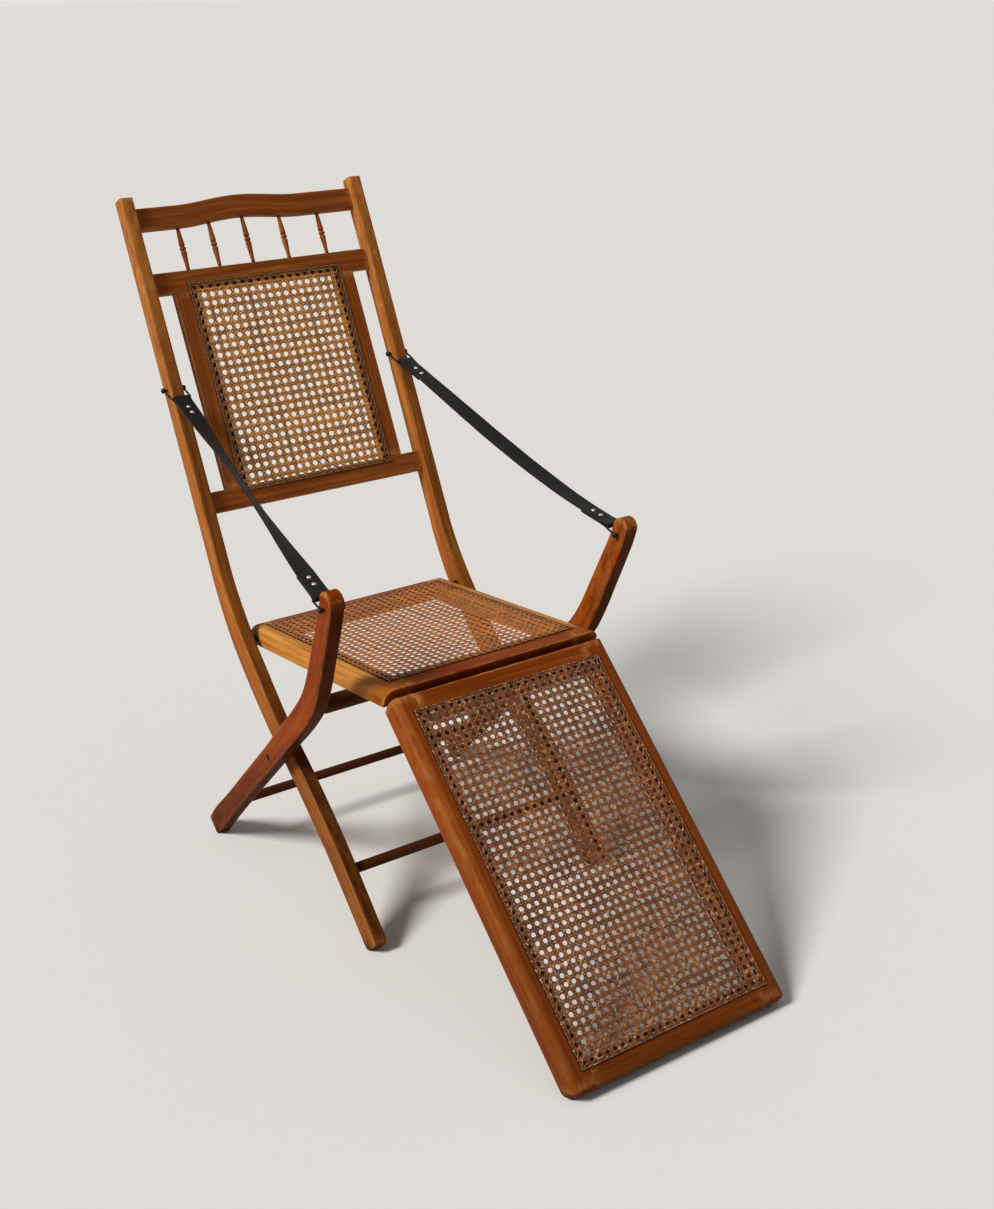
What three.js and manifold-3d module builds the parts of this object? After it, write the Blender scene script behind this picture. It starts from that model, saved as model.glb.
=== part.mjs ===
// A folding steamer deck chair in caned wood: a back frame whose stiles run down as the front legs, a pair of
// arm posts that run down as the back legs, a seat that rests on a rung between the posts, a hinged leg rest,
// and two leather straps that stop the frame from opening too far.
// Millimetres. X runs across the chair, the sitter faces -Y, and Z is the height above the ground.
import * as THREE from "three";
import { mergeVertices } from "three/addons/utils/BufferGeometryUtils.js";
import Module from "manifold-3d";

const wasm = await Module();
wasm.setup();

// Clearances
const gap = 0.3;
const runningGap = 0.4;

// Widths: the seat and the leg rest hang between the stiles
const seatHalf = 188;
const restHalf = seatHalf;
const seatClearance = 9.5;
const stileInside = seatHalf + seatClearance;

// Stiles: the middle of the depth from top to foot, each row a Y, a Z and the depth there
const stileThickness = 21.5;
const stileLine = [
  [576, 1024, 28.5],
  [452.5, 758, 31.5],
  [329, 492, 34.5],
  [307, 446, 36],
  [263, 380, 41],
  [208, 320, 42],
  [150, 264, 39.5],
  [102, 226, 39.5],
  [55, 188, 41],
  [-15, 126, 40.5],
  [-71, 69, 39.5],
  [-130, 6.5, 38],
];
const stileTopRound = 5;
const frontFootRound = 9;
const backFootRound = 5;

// Arm posts: straight down from the pivot, leaning out towards the hand above it
const armThickness = 23.5;
const armLine = [
  [-134, 588, 31],
  [-127, 562.5, 32],
  [-110, 523, 33.5],
  [-87, 474, 35.5],
  [-74, 445, 36.5],
  [-45, 392, 38],
  [-8, 350, 38],
  [62, 284, 36],
  [112, 235.5, 34.5],
  [191, 160, 34],
  [270, 84, 34],
  [319, 37, 37],
  [345, 9, 35],
];
const armLean = 0.05;
const armLeanFrom = 262;
const armLeanEase = 30;

const arris = 3.2;
const cornerShare = 0.72;
const legSections = 22;
const arrisSteps = 2;
const endSteps = 3;

// The main pivot, where the stiles and the arm posts cross
const pivot = [112, 235.5];
const pivotRadius = 4;
const pivotHeadRadius = 7.5;
const pivotHeadHeight = 2.4;
const pivotEndInset = 0.8;
const washerRadius = 12;
const washerThickness = 6.2;

// How wide the flat crown of a pin's or a rivet's head is
const crownShare = 0.72;

// Round rails: the front stretcher, the back stretcher and the rung that carries the seat
const frontStretcher = [-47, 97];
const frontStretcherRadius = 8.2;
const backStretcher = [276, 81];
const backStretcherRadius = 7.8;
const seatRung = [-35, 374.4];
const seatRungRadius = 13.3;
const spigotLength = 13;
const spigotShare = 0.72;
const rungSpigotRadius = 8;
const rungShoulder = 6;
const endShare = 0.72;

// The back, drawn flat: X across, Y up the slope from the lower rail's lower edge, Z out of its front face
const backPlace = [353.4, 555.5];
const backTilt = 64.72;
const backRailThickness = 15;
const lowerRailHeight = 34.3;
const midRailFrom = 359.4;
const midRailHeight = 35;
const crestFrom = 465.8;
const crestHeight = 36;
const crestRise = 8;
const crestHumpMiddle = -15;
const crestHumpHalf = 112;
const crestSteps = 10;
const railArris = 1.6;
const backPanelInset = 33;
const backPanelHalf = stileInside - backPanelInset;
const backPanelStileWidth = 38.5;
const balusterPlaces = [-128, -72, -11, 56, 128];
const balusterSpigot = 8;
const balusterEndRadius = 2.9;
const balusterBellyRadius = 4.4;
const balusterBeadRadius = 4.7;
const balusterGrooveRadius = 3.4;
const balusterSpigotRadius = 2.6;

// The seat, drawn flat: Y runs back from its front edge, Z out of its upper face. Its pivots place it
const seatPivot = [253.927, 373.013];
const seatTilt = -5.86;
const seatLength = 430;
const seatThickness = 28;
const seatFrontRail = 46;
const seatBackRail = 28;
const seatUndercut = 15;

// The leg rest, drawn flat: Y runs up the slope from its lower end, Z out of its upper face. It hangs on its
// hinges and slopes as far as its length asks, down to the flat that is cut on its lower end for the ground
const restLength = 586;
const restFootCut = 27.18;
const restThickness = 31;
const restTopRail = 40;
const restBottomRail = 40;
const restEndCut = 8;
const restEndRound = 4;
const restLowerRound = 10;
const restCornerRound = 15;

const sideRailWidth = 38;
const noseRadius = 16;
const lowerArris = 2.5;
const innerArris = 0.8;

// Mortise and tenon joints
const tenonLength = 15;
const tenonThickness = 8;
const tenonShoulder = 4;
const frameTenonLength = 22;
const frameTenonThickness = 9;
const frameTenonShoulder = 9;

// Cane panels: where the outer edge of each lies on its frame, and its open octagons
const caneThickness = 1.6;
const caneOpenShare = 0.66;
const octagonSides = 8;
const backCaneInset = 24;
const caneOnLowerRail = 10.4;
const caneOnMidRail = 14.7;
const backCane = {
  half: backPanelHalf - backCaneInset,
  from: lowerRailHeight - caneOnLowerRail,
  to: midRailFrom + caneOnMidRail,
  across: 7,
  along: 8,
  edge: 16,
};
const seatCaneInset = 23;
const seatCaneFromFront = 32;
const seatCaneFromBack = 14;
const seatCane = {
  half: seatHalf - seatCaneInset,
  from: seatCaneFromFront,
  to: seatLength - seatCaneFromBack,
  across: 7,
  along: 9,
  edge: 17,
};
const restCaneInset = 24.5;
const restCaneFromFoot = 26;
const restCaneFromTop = 25;
const restCane = {
  half: restHalf - restCaneInset,
  from: restCaneFromFoot,
  to: restLength - restCaneFromTop,
  across: 7,
  along: 12,
  edge: 17,
};

// Seat pivots, each a shouldered pin between a stile and a side rail
const seatPivotFromBack = 20;
const seatPivotRadius = 4;
const seatPivotCollarRadius = 8;
const seatPivotDepth = 14;

// Butt hinges between the seat and the leg rest. Their pins' place is given from the seat's front edge, and
// from the lower corner of the leg rest's end
const hingeFromSeatEdge = [13.2, -31.62];
const hingeFromRestCorner = [3.84, -0.25];
const hingeFromSide = 76;
const hingeMiddle = seatHalf - hingeFromSide;
const leafLength = 54;
const leafHeight = 14;
const leafThickness = 1.4;
const knuckleRadius = 3.1;
const hingePinRadius = 1.5;
const hingePinHeadRadius = 2.4;
const hingePinHeadHeight = 1.2;
const knuckles = 3;
const webShare = 0.72;

// Straps, the wire bails that hold them and the pins that the bails swing on
const stileBailPin = [445, 742];
const armBailPin = [-127, 562.5];
const stileBailReach = 30;
const armBailReach = 25;
const wireRadius = 1.6;
const bailHalf = 16.6;
const eyeRadius = 4.6;
const bailPinRadius = 2;
const bailHeadRadius = 4.2;
const bailHeadHeight = 2.4;
const strapWidth = 28;
const strapThickness = 2.4;
const strapFlap = 58;
const strapNeck = 14;
const strapSides = {
  right: { mirror: 1, twist: 9, sag: 20, lowerSag: 60 },
  left: { mirror: -1, twist: 44, sag: 0, lowerSag: 26 },
};
const strapLoopSteps = 5;
const strapRunSteps = 14;
const rivetPlaces = [30, 47];
const rivetRadius = 1.5;
const rivetHeadRadius = 3.4;
const rivetHeadHeight = 1.5;
const rivetTailRadius = 2.8;
const rivetTailHeight = 0.9;

const pinSides = 16;
const smallSides = 10;
const rungSides = 16;
const balusterSides = 10;
const wireSides = 6;
const weld = 1e-3;
const far = 3000;

// Finishes
const finishes = {
  wood: { color: "#8f5327", roughness: 0.42, metalness: 0 },
  paleWood: { color: "#b9772f", roughness: 0.45, metalness: 0 },
  darkWood: { color: "#5e3216", roughness: 0.5, metalness: 0 },
  cane: { color: "#a97b4e", roughness: 0.6, metalness: 0 },
  darkCane: { color: "#7d5c3b", roughness: 0.65, metalness: 0 },
  leather: { color: "#1c1917", roughness: 0.5, metalness: 0 },
  iron: { color: "#3a322c", roughness: 0.55, metalness: 0.8 },
  brass: { color: "#8a6a35", roughness: 0.45, metalness: 0.9 },
  steel: { color: "#c9c6bf", roughness: 0.25, metalness: 1 },
};

// Solids: a closed geometry as a solid that can be cut, and back again
function solidOf(geometry) {
  const bare = geometry.clone();
  bare.deleteAttribute("normal");
  bare.deleteAttribute("uv");
  const merged = mergeVertices(bare, weld);
  const vertProperties = merged.attributes.position.array;
  const corners = merged.index.array;
  const sound = [];
  for (let start = 0; start < corners.length; start += 3) {
    const [a, b, c] = corners.slice(start, start + 3);
    if (a !== b && b !== c && c !== a) sound.push(a, b, c);
  }
  const triVerts = Uint32Array.from(sound);
  return new wasm.Manifold(new wasm.Mesh({ numProp: 3, vertProperties, triVerts }));
}

function geometryOf(solid) {
  const { vertProperties, triVerts } = solid.getMesh();
  const geometry = new THREE.BufferGeometry();
  geometry.setAttribute("position", new THREE.BufferAttribute(vertProperties, 3));
  geometry.setIndex(new THREE.BufferAttribute(triVerts, 1));
  geometry.computeVertexNormals();
  return geometry;
}

function joined(geometry, additions) {
  return geometryOf(additions.reduce((solid, other) => solid.add(solidOf(other)), solidOf(geometry)));
}

function cut(geometry, cutters) {
  return geometryOf(cutters.reduce((solid, other) => solid.subtract(solidOf(other)), solidOf(geometry)));
}

function kept(geometry, other) {
  return geometryOf(solidOf(geometry).intersect(solidOf(other)));
}

// Shapes: blocks, outlines and turned pieces
function block(x, y, z, grow = 0) {
  const size = [x, y, z].map(([from, to]) => to - from + 2 * grow);
  const middle = [x, y, z].map(([from, to]) => (from + to) / 2);
  return new THREE.BoxGeometry(...size).translate(...middle);
}

function roundedOutline([left, right], [low, high], radii) {
  const [lowRight, highRight, highLeft, lowLeft] = radii;
  const shape = new THREE.Shape();
  shape.moveTo(left + lowLeft, low);
  shape.lineTo(right - lowRight, low);
  shape.absarc(right - lowRight, low + lowRight, lowRight, -Math.PI / 2, 0);
  shape.lineTo(right, high - highRight);
  shape.absarc(right - highRight, high - highRight, highRight, 0, Math.PI / 2);
  shape.lineTo(left + highLeft, high);
  shape.absarc(left + highLeft, high - highLeft, highLeft, Math.PI / 2, Math.PI);
  shape.lineTo(left, low + lowLeft);
  shape.absarc(left + lowLeft, low + lowLeft, lowLeft, Math.PI, Math.PI * 1.5);
  return shape;
}

const xAxis = new THREE.Vector3(1, 0, 0);
const yAxis = new THREE.Vector3(0, 1, 0);
const zAxis = new THREE.Vector3(0, 0, 1);

function extruded(shape, [from, to], bevel = 0, curveSegments = 3) {
  const options = { depth: to - from - 2 * bevel, curveSegments, bevelEnabled: bevel > 0 };
  const rounding = { bevelSize: bevel, bevelThickness: bevel, bevelOffset: -bevel, bevelSegments: 2 };
  return new THREE.ExtrudeGeometry(shape, { ...options, ...rounding }).translate(0, 0, from + bevel);
}

// An outline in Y and Z carried along X
function alongX(shape, reach, bevel, curveSegments) {
  const turn = new THREE.Matrix4().makeBasis(yAxis, zAxis, xAxis);
  return extruded(shape, reach, bevel, curveSegments).applyMatrix4(turn);
}

// A section in X and Z carried along Y
function alongY(shape, [from, to], bevel, curveSegments) {
  const turn = new THREE.Matrix4().makeBasis(xAxis, zAxis, yAxis.clone().negate());
  return extruded(shape, [-to, -from], bevel, curveSegments).applyMatrix4(turn);
}

// A turned piece about X, from rows of a radius and a place along the axis
function turnedAcross(rows, [y, z], sides) {
  const profile = rows.map(([radius, along]) => new THREE.Vector2(radius, along));
  return new THREE.LatheGeometry(profile, sides).rotateZ(-Math.PI / 2).translate(0, y, z);
}

function bore(radius, [from, to], place, sides = pinSides) {
  const rows = [
    [0, from],
    [radius, from],
    [radius, to],
    [0, to],
  ];
  return turnedAcross(rows, place, sides);
}

// Lofts: rings of equal count joined in order, with a flat fan at each end
function loft(rings) {
  const count = rings[0].length;
  const positions = rings.flat().flatMap((point) => [point.x, point.y, point.z]);
  const index = [];
  for (let ring = 0; ring + 1 < rings.length; ring += 1) {
    for (let side = 0; side < count; side += 1) {
      const a = ring * count + side;
      const b = ring * count + ((side + 1) % count);
      index.push(a, b, a + count, b, b + count, a + count);
    }
  }
  const last = (rings.length - 1) * count;
  for (let side = 1; side + 1 < count; side += 1) {
    index.push(0, side + 1, side);
    index.push(last, last + side, last + side + 1);
  }
  const geometry = new THREE.BufferGeometry();
  geometry.setAttribute("position", new THREE.Float32BufferAttribute(positions, 3));
  geometry.setIndex(index);
  return geometry;
}

function ringSection(halfWidth, halfDepth, radius) {
  const points = [];
  for (let corner = 0; corner < 4; corner += 1) {
    const middle = Math.PI * (0.25 + corner / 2);
    const signWidth = Math.sign(Math.cos(middle));
    const signDepth = Math.sign(Math.sin(middle));
    for (let step = 0; step <= arrisSteps; step += 1) {
      const angle = middle + (step / arrisSteps - 0.5) * (Math.PI / 2);
      const width = signWidth * (halfWidth - radius) + radius * Math.cos(angle);
      const depth = signDepth * (halfDepth - radius) + radius * Math.sin(angle);
      points.push([width, depth]);
    }
  }
  return points;
}

// How much a half size draws in at a distance from a rounded end
function drawnIn(distance, radius) {
  if (distance >= radius) return 0;
  return radius - Math.sqrt(radius * radius - (radius - distance) ** 2);
}

function endDistances(radius) {
  return Array.from({ length: endSteps }, (_, step) => {
    const angle = ((step + 0.25) / endSteps) * (Math.PI / 2);
    return radius * (1 - Math.cos(angle));
  });
}

// A bent leg: a rounded section carried down a curved middle line
function bentLeg(line, thickness, middleAt, topRound, lowRound) {
  const rows = line.map(([y, z, depth]) => new THREE.Vector3(y, z, depth));
  const curve = new THREE.CatmullRomCurve3(rows, false, "centripetal");
  const length = curve.getLength();
  const inner = Array.from({ length: legSections }, (_, step) => {
    return topRound + ((length - topRound - lowRound) * step) / (legSections - 1);
  });
  const lowEnd = endDistances(lowRound).map((distance) => length - distance);
  const distances = [...endDistances(topRound), ...inner, ...lowEnd.reverse()];
  const rings = distances.map((distance) => {
    const place = curve.getPointAt(distance / length);
    const heading = curve.getTangentAt(distance / length);
    const down = new THREE.Vector2(heading.x, heading.y).normalize();
    const shrink = drawnIn(distance, topRound) + drawnIn(length - distance, lowRound);
    const edge = drawnIn(distance, arris) + drawnIn(length - distance, arris);
    const halfDepth = place.z / 2 - shrink;
    const section = ringSection(thickness / 2 - edge, halfDepth, Math.min(arris, halfDepth * cornerShare));
    return section.map(([width, depth]) => {
      const z = place.y - depth * down.x;
      return new THREE.Vector3(middleAt(place.y) + width, place.x + depth * down.y, z);
    });
  });
  return loft(rings);
}

const aboveGround = block([-far, far], [-far, far], [0, far]);

const stileOutside = stileInside + stileThickness;
const stileMiddle = (stileInside + stileOutside) / 2;
const armInside = stileOutside + washerThickness + 2 * gap;
const armMiddle = armInside + armThickness / 2;

function armMiddleAt(z) {
  const rise = z - armLeanFrom;
  return armMiddle + (armLean * (Math.hypot(rise, armLeanEase) + rise)) / 2;
}

// Flat drawings and where they stand in the chair
function drawing([y, z], tilt) {
  const group = new THREE.Group();
  group.position.set(0, y, z);
  group.rotation.x = THREE.MathUtils.degToRad(tilt);
  group.updateMatrixWorld(true);
  return group;
}

function placedBy(group, geometry) {
  return geometry.clone().applyMatrix4(group.matrixWorld);
}

function turned([y, z], slope) {
  return [y * Math.cos(slope) - z * Math.sin(slope), y * Math.sin(slope) + z * Math.cos(slope)];
}

// Where a drawing stands when a point of it lies at a place in the chair
function placeFor(place, point, slope) {
  const [y, z] = turned(point, slope);
  return [place[0] - y, place[1] - z];
}

const seatSlope = THREE.MathUtils.degToRad(seatTilt);
const seatPivotPlace = [seatLength - seatPivotFromBack, -seatThickness / 2];
const seatPlace = placeFor(seatPivot, seatPivotPlace, seatSlope);
const [hingeBehindEdge, hingeAboveEdge] = turned(hingeFromSeatEdge, seatSlope);
const hinge = [seatPlace[0] + hingeBehindEdge, seatPlace[1] + hingeAboveEdge];
const restHinge = [restLength - restEndCut + hingeFromRestCorner[0], -restThickness + hingeFromRestCorner[1]];
const hingeAlong = restHinge[0];
const hingeUnder = restHinge[1] + restFootCut;
const hingeRise = Math.asin(hinge[1] / Math.hypot(hingeAlong, hingeUnder));
const restSlope = hingeRise - Math.atan2(hingeUnder, hingeAlong);
const restTilt = THREE.MathUtils.radToDeg(restSlope);
const restPlace = placeFor(hinge, restHinge, restSlope);
const back = drawing(backPlace, backTilt);
const seat = drawing(seatPlace, seatTilt);
const rest = drawing(restPlace, restTilt);

const chair = new THREE.Group();
chair.add(back, seat, rest);

function addPiece(name, geometry, finish, parent = chair) {
  const mesh = new THREE.Mesh(geometry, new THREE.MeshStandardMaterial(finishes[finish]));
  mesh.name = name;
  parent.add(mesh);
  return mesh;
}

function addPair(name, geometry, finish, parent = chair) {
  addPiece(`${name}_right`, geometry, finish, parent);
  addPiece(`${name}_left`, geometry, finish, parent).scale.x = -1;
}

// Back rails: the tenons at their ends and the mortises that these need in the stiles
const backRailDepth = [-backRailThickness, 0];
const tenonDepth = [-(backRailThickness + tenonThickness) / 2, -(backRailThickness - tenonThickness) / 2];
const backRails = {
  lower: [0, lowerRailHeight],
  mid: [midRailFrom, midRailFrom + midRailHeight],
  crest: [crestFrom, crestFrom + crestHeight],
};

function railTenon([low, high]) {
  return [
    [stileInside, stileInside + tenonLength],
    [low + tenonShoulder, high - tenonShoulder],
    tenonDepth,
  ];
}

function railBody(outline) {
  const whole = extruded(outline, backRailDepth, railArris);
  const reach = stileInside - gap;
  return kept(whole, block([-reach, reach], [-far, far], [-far, far]));
}

function withTenons(body, rail) {
  const [[, to], height, depth] = railTenon(rail);
  const root = stileInside - tenonLength;
  return joined(body, [block([root, to], height, depth), block([-to, -root], height, depth)]);
}

function straightRail(rail) {
  const over = stileInside + tenonLength;
  const outline = new THREE.Shape();
  outline.moveTo(-over, rail[0]);
  outline.lineTo(over, rail[0]);
  outline.lineTo(over, rail[1]);
  outline.lineTo(-over, rail[1]);
  return withTenons(railBody(outline), rail);
}

function humpAt(x) {
  const share = Math.min(1, Math.abs(x - crestHumpMiddle) / crestHumpHalf);
  return (crestRise * (1 + Math.cos(Math.PI * share))) / 2;
}

function crestOutline() {
  const over = stileInside + tenonLength;
  const places = Array.from({ length: crestSteps + 1 }, (_, step) => {
    return crestHumpMiddle + crestHumpHalf * ((2 * step) / crestSteps - 1);
  });
  const across = [-over, ...places, over];
  const upper = across.map((x) => new THREE.Vector2(x, backRails.crest[1] + humpAt(x)));
  const lower = across.map((x) => new THREE.Vector2(x, backRails.crest[0] + humpAt(x)));
  return new THREE.Shape([...lower, ...upper.reverse()]);
}

// Balusters, each turned about its own length with a bead between two grooves. Each row is a radius and a
// share of the length
const balusterShares = [
  [balusterEndRadius, 0],
  [balusterEndRadius, 0.06],
  [balusterBellyRadius, 0.44],
  [balusterGrooveRadius, 0.455],
  [balusterGrooveRadius, 0.475],
  [balusterBeadRadius, 0.49],
  [balusterBeadRadius, 0.54],
  [balusterGrooveRadius, 0.555],
  [balusterGrooveRadius, 0.575],
  [balusterBellyRadius, 0.59],
  [balusterEndRadius, 0.94],
  [balusterEndRadius, 1],
];

function turnedUp(rows, sides) {
  return new THREE.LatheGeometry(rows.map(([radius, along]) => new THREE.Vector2(radius, along)), sides);
}

function baluster(x) {
  const foot = backRails.mid[1] + gap;
  const head = backRails.crest[0] + humpAt(x) - gap;
  const body = balusterShares.map(([radius, share]) => [radius, foot + share * (head - foot)]);
  const low = foot - balusterSpigot;
  const high = head + balusterSpigot;
  const rows = [
    [0, low],
    [balusterSpigotRadius, low],
    [balusterSpigotRadius, foot],
    ...body,
    [balusterSpigotRadius, head],
    [balusterSpigotRadius, high],
    [0, high],
  ];
  return turnedUp(rows, balusterSides).translate(x, 0, -backRailThickness / 2);
}

function balusterBore(x, [from, to]) {
  const radius = balusterSpigotRadius + runningGap;
  const rows = [
    [0, from],
    [radius, from],
    [radius, to],
    [0, to],
  ];
  return turnedUp(rows, balusterSides).translate(x, 0, -backRailThickness / 2);
}

// Panel stiles stand between the mid and lower rails and carry the sides of the cane
const panelStileAcross = [backPanelHalf - backPanelStileWidth, backPanelHalf];
const panelTenonAcross = [panelStileAcross[0] + tenonShoulder, panelStileAcross[1] - tenonShoulder];
const panelTenonReach = [backRails.lower[1] - tenonLength, backRails.mid[0] + tenonLength];

function panelStile() {
  const section = roundedOutline(panelStileAcross, backRailDepth, Array(4).fill(railArris));
  const body = alongY(section, [backRails.lower[1] + gap, backRails.mid[0] - gap], 0, 1);
  return joined(body, [block(panelTenonAcross, panelTenonReach, tenonDepth)]);
}

function panelMortises() {
  const right = block(panelTenonAcross, panelTenonReach, tenonDepth, gap);
  const left = block([-panelTenonAcross[1], -panelTenonAcross[0]], panelTenonReach, tenonDepth, gap);
  return [right, left];
}

// Cane panels: a flat sheet with a regular field of octagons, laid on the frame round it
function caneSheet({ half, from, to, across, along, edge }) {
  const sheet = new THREE.Shape();
  sheet.moveTo(-half, from);
  sheet.lineTo(half, from);
  sheet.lineTo(half, to);
  sheet.lineTo(-half, to);
  const pitchX = (2 * (half - edge)) / across;
  const pitchY = (to - from - 2 * edge) / along;
  const radius = (Math.min(pitchX, pitchY) / 2) * caneOpenShare / Math.cos(Math.PI / octagonSides);
  for (let column = 0; column < across; column += 1) {
    for (let row = 0; row < along; row += 1) {
      const x = -half + edge + pitchX * (column + 0.5);
      const y = from + edge + pitchY * (row + 0.5);
      const hole = Array.from({ length: octagonSides }, (_, corner) => {
        const angle = (-2 * Math.PI * (corner + 0.5)) / octagonSides;
        return new THREE.Vector2(x + radius * Math.cos(angle), y + radius * Math.sin(angle));
      });
      sheet.holes.push(new THREE.Path(hole));
    }
  }
  return extruded(sheet, [gap, gap + caneThickness]);
}

// Caned frames: side rails run the full length, and the cross rails are tenoned between them
const noseRadii = [lowerArris, noseRadius, innerArris, innerArris];

function sideRail(half, length, thickness) {
  const section = roundedOutline([half - sideRailWidth, half], [-thickness, 0], noseRadii);
  return alongY(section, [0, length], 0, 4);
}

function frameTenon(half, thickness, [low, high]) {
  const root = half - sideRailWidth - frameTenonLength;
  const tip = half - sideRailWidth + frameTenonLength;
  const middle = -thickness / 2;
  const depth = [middle - frameTenonThickness / 2, middle + frameTenonThickness / 2];
  return [[root, tip], [low + frameTenonShoulder, high - frameTenonShoulder], depth];
}

function mirroredBlock([[from, to], y, z], grow) {
  return block([-to, -from], y, z, grow);
}

function withFrameTenons(body, half, thickness, reach) {
  const tenon = frameTenon(half, thickness, reach);
  return joined(body, [block(...tenon), mirroredBlock(tenon)]);
}

function frameMortises(half, thickness, reaches) {
  return Object.values(reaches).map((reach) => block(...frameTenon(half, thickness, reach), gap));
}

// The seat. Its front face slopes back under it, to clear the upper end of the leg rest
const seatRails = {
  front: [0, seatFrontRail],
  back: [seatLength - seatBackRail, seatLength],
};
const seatTenonReaches = {
  front: [seatUndercut / 2, seatFrontRail],
  back: seatRails.back,
};

function seatSide() {
  const side = new THREE.Shape();
  side.moveTo(seatUndercut, -seatThickness);
  side.lineTo(seatLength, -seatThickness);
  side.lineTo(seatLength, 0);
  side.lineTo(0, 0);
  return alongX(side, [-seatHalf, seatHalf]);
}

function seatCrossRail([from, to], tenonReach) {
  const inside = seatHalf - sideRailWidth - gap;
  const body = kept(seatSide(), block([-inside, inside], [from, to], [-far, far]));
  return withFrameTenons(body, seatHalf, seatThickness, tenonReach);
}

function seatSideRail() {
  const shaped = kept(sideRail(seatHalf, seatLength, seatThickness), seatSide());
  const pivotBore = bore(
    seatPivotRadius + runningGap,
    [seatHalf - seatPivotDepth, seatHalf + gap],
    seatPivotPlace,
  );
  return cut(shaped, [...frameMortises(seatHalf, seatThickness, seatTenonReaches), pivotBore]);
}

function seatPivotPin() {
  const collar = [seatHalf + gap, stileInside - gap];
  const rows = [
    [0, seatHalf - seatPivotDepth + gap],
    [seatPivotRadius, seatHalf - seatPivotDepth + gap],
    [seatPivotRadius, collar[0]],
    [seatPivotCollarRadius, collar[0]],
    [seatPivotCollarRadius, collar[1]],
    [seatPivotRadius, collar[1]],
    [seatPivotRadius, stileInside + seatPivotDepth - gap],
    [0, stileInside + seatPivotDepth - gap],
  ];
  return turnedAcross(rows, seatPivot, pinSides);
}

// The leg rest. Its lower end stands on the ground, and its upper end is cut back beside the seat's face
function restSide() {
  const endLean = Math.atan2(restThickness, restEndCut);
  const footLength = (restThickness - restFootCut) / Math.tan(restSlope);
  const side = new THREE.Shape();
  side.moveTo(footLength, -restThickness);
  side.lineTo(restLength - restEndCut, -restThickness);
  side.lineTo(restLength - restEndRound * Math.cos(endLean), -restEndRound * Math.sin(endLean));
  side.quadraticCurveTo(restLength, 0, restLength - restEndRound, 0);
  side.lineTo(restLowerRound, 0);
  side.absarc(restLowerRound, -restLowerRound, restLowerRound, Math.PI / 2, Math.PI);
  side.lineTo(0, -restFootCut);
  return alongX(side, [-restHalf, restHalf]);
}

const restRails = {
  top: [restLength - restTopRail, restLength],
  bottom: [0, restBottomRail],
};
const restTenonReaches = {
  top: restRails.top.map((edge) => edge - restEndCut / 2),
  bottom: restRails.bottom,
};

function restPlan(inner, outer, round) {
  const plan = roundedOutline([0, restLength], [-outer, outer], [innerArris, innerArris, round, round]);
  const turned = extruded(plan, [-far, far], 0, 4).rotateZ(Math.PI / 2);
  return kept(turned, block([inner, outer], [-far, far], [-far, far]));
}

function restSideRail() {
  const shaped = kept(sideRail(restHalf, restLength, restThickness), restSide());
  const inner = restHalf - sideRailWidth;
  const cornered = kept(shaped, restPlan(inner - gap, restHalf, restCornerRound));
  return cut(cornered, frameMortises(restHalf, restThickness, restTenonReaches));
}

function restCrossRail([from, to], tenonReach) {
  const inside = restHalf - sideRailWidth - gap;
  const body = kept(restSide(), block([-inside, inside], [from, to], [-far, far]));
  return withFrameTenons(body, restHalf, restThickness, tenonReach);
}

// Hinges, drawn about their pin. One leaf is let into the seat's face, the other into the leg rest's end
const seatFaceLean = seatTilt + THREE.MathUtils.radToDeg(Math.atan(seatUndercut / seatThickness));
const restFaceLean = restTilt - THREE.MathUtils.radToDeg(Math.atan(restEndCut / restThickness));
const seatLeafLevel = drawing(hinge, seatFaceLean);
const restLeafLevel = drawing(hinge, restFaceLean);

function acrossTo(level, target, place) {
  return level.worldToLocal(target.localToWorld(new THREE.Vector3(0, ...place))).y;
}

const seatFace = acrossTo(seatLeafLevel, seat, [0, 0]);
const restFace = acrossTo(restLeafLevel, rest, [restLength, 0]);
const leafAcross = [hingeMiddle - leafLength / 2, hingeMiddle + leafLength / 2];
const leafUp = [0, leafHeight];

function knuckleReach(index) {
  const step = leafLength / knuckles;
  const from = leafAcross[0] + step * index;
  return [from + gap / 2, from + step - gap / 2];
}

function leaf(face, side, indices) {
  const plate = [face, face + side * leafThickness].sort((a, b) => a - b);
  const web = [0, face + side * (leafThickness / 2)].sort((a, b) => a - b);
  const body = block(leafAcross, plate, leafUp);
  const parts = indices.flatMap((index) => {
    const reach = knuckleReach(index);
    const knuckle = bore(knuckleRadius, reach, [0, 0], smallSides);
    return [knuckle, block(reach, web, [0, knuckleRadius * webShare])];
  });
  const clearRadius = hingePinRadius + runningGap;
  const pinHole = bore(clearRadius, [leafAcross[0] - gap, leafAcross[1] + gap], [0, 0], smallSides);
  return cut(joined(body, parts), [pinHole]);
}

function leafRecess(face, side) {
  const plate = [face - side * far, face + side * (leafThickness + gap)].sort((a, b) => a - b);
  const shallow = [Math.max(plate[0], Math.min(0, face)), Math.min(plate[1], Math.max(0, face))];
  const depth = side > 0 ? [shallow[0], plate[1]] : [plate[0], shallow[1]];
  return block(leafAcross, depth, leafUp, gap);
}

function hingePin() {
  const [from, to] = leafAcross;
  const rows = [
    [0, from - gap - hingePinHeadHeight],
    [hingePinHeadRadius, from - gap - hingePinHeadHeight],
    [hingePinHeadRadius, from - gap],
    [hingePinRadius, from - gap],
    [hingePinRadius, to + gap],
    [hingePinHeadRadius, to + gap],
    [hingePinHeadRadius, to + gap + hingePinHeadHeight],
    [0, to + gap + hingePinHeadHeight],
  ];
  return turnedAcross(rows, [0, 0], smallSides);
}

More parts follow.
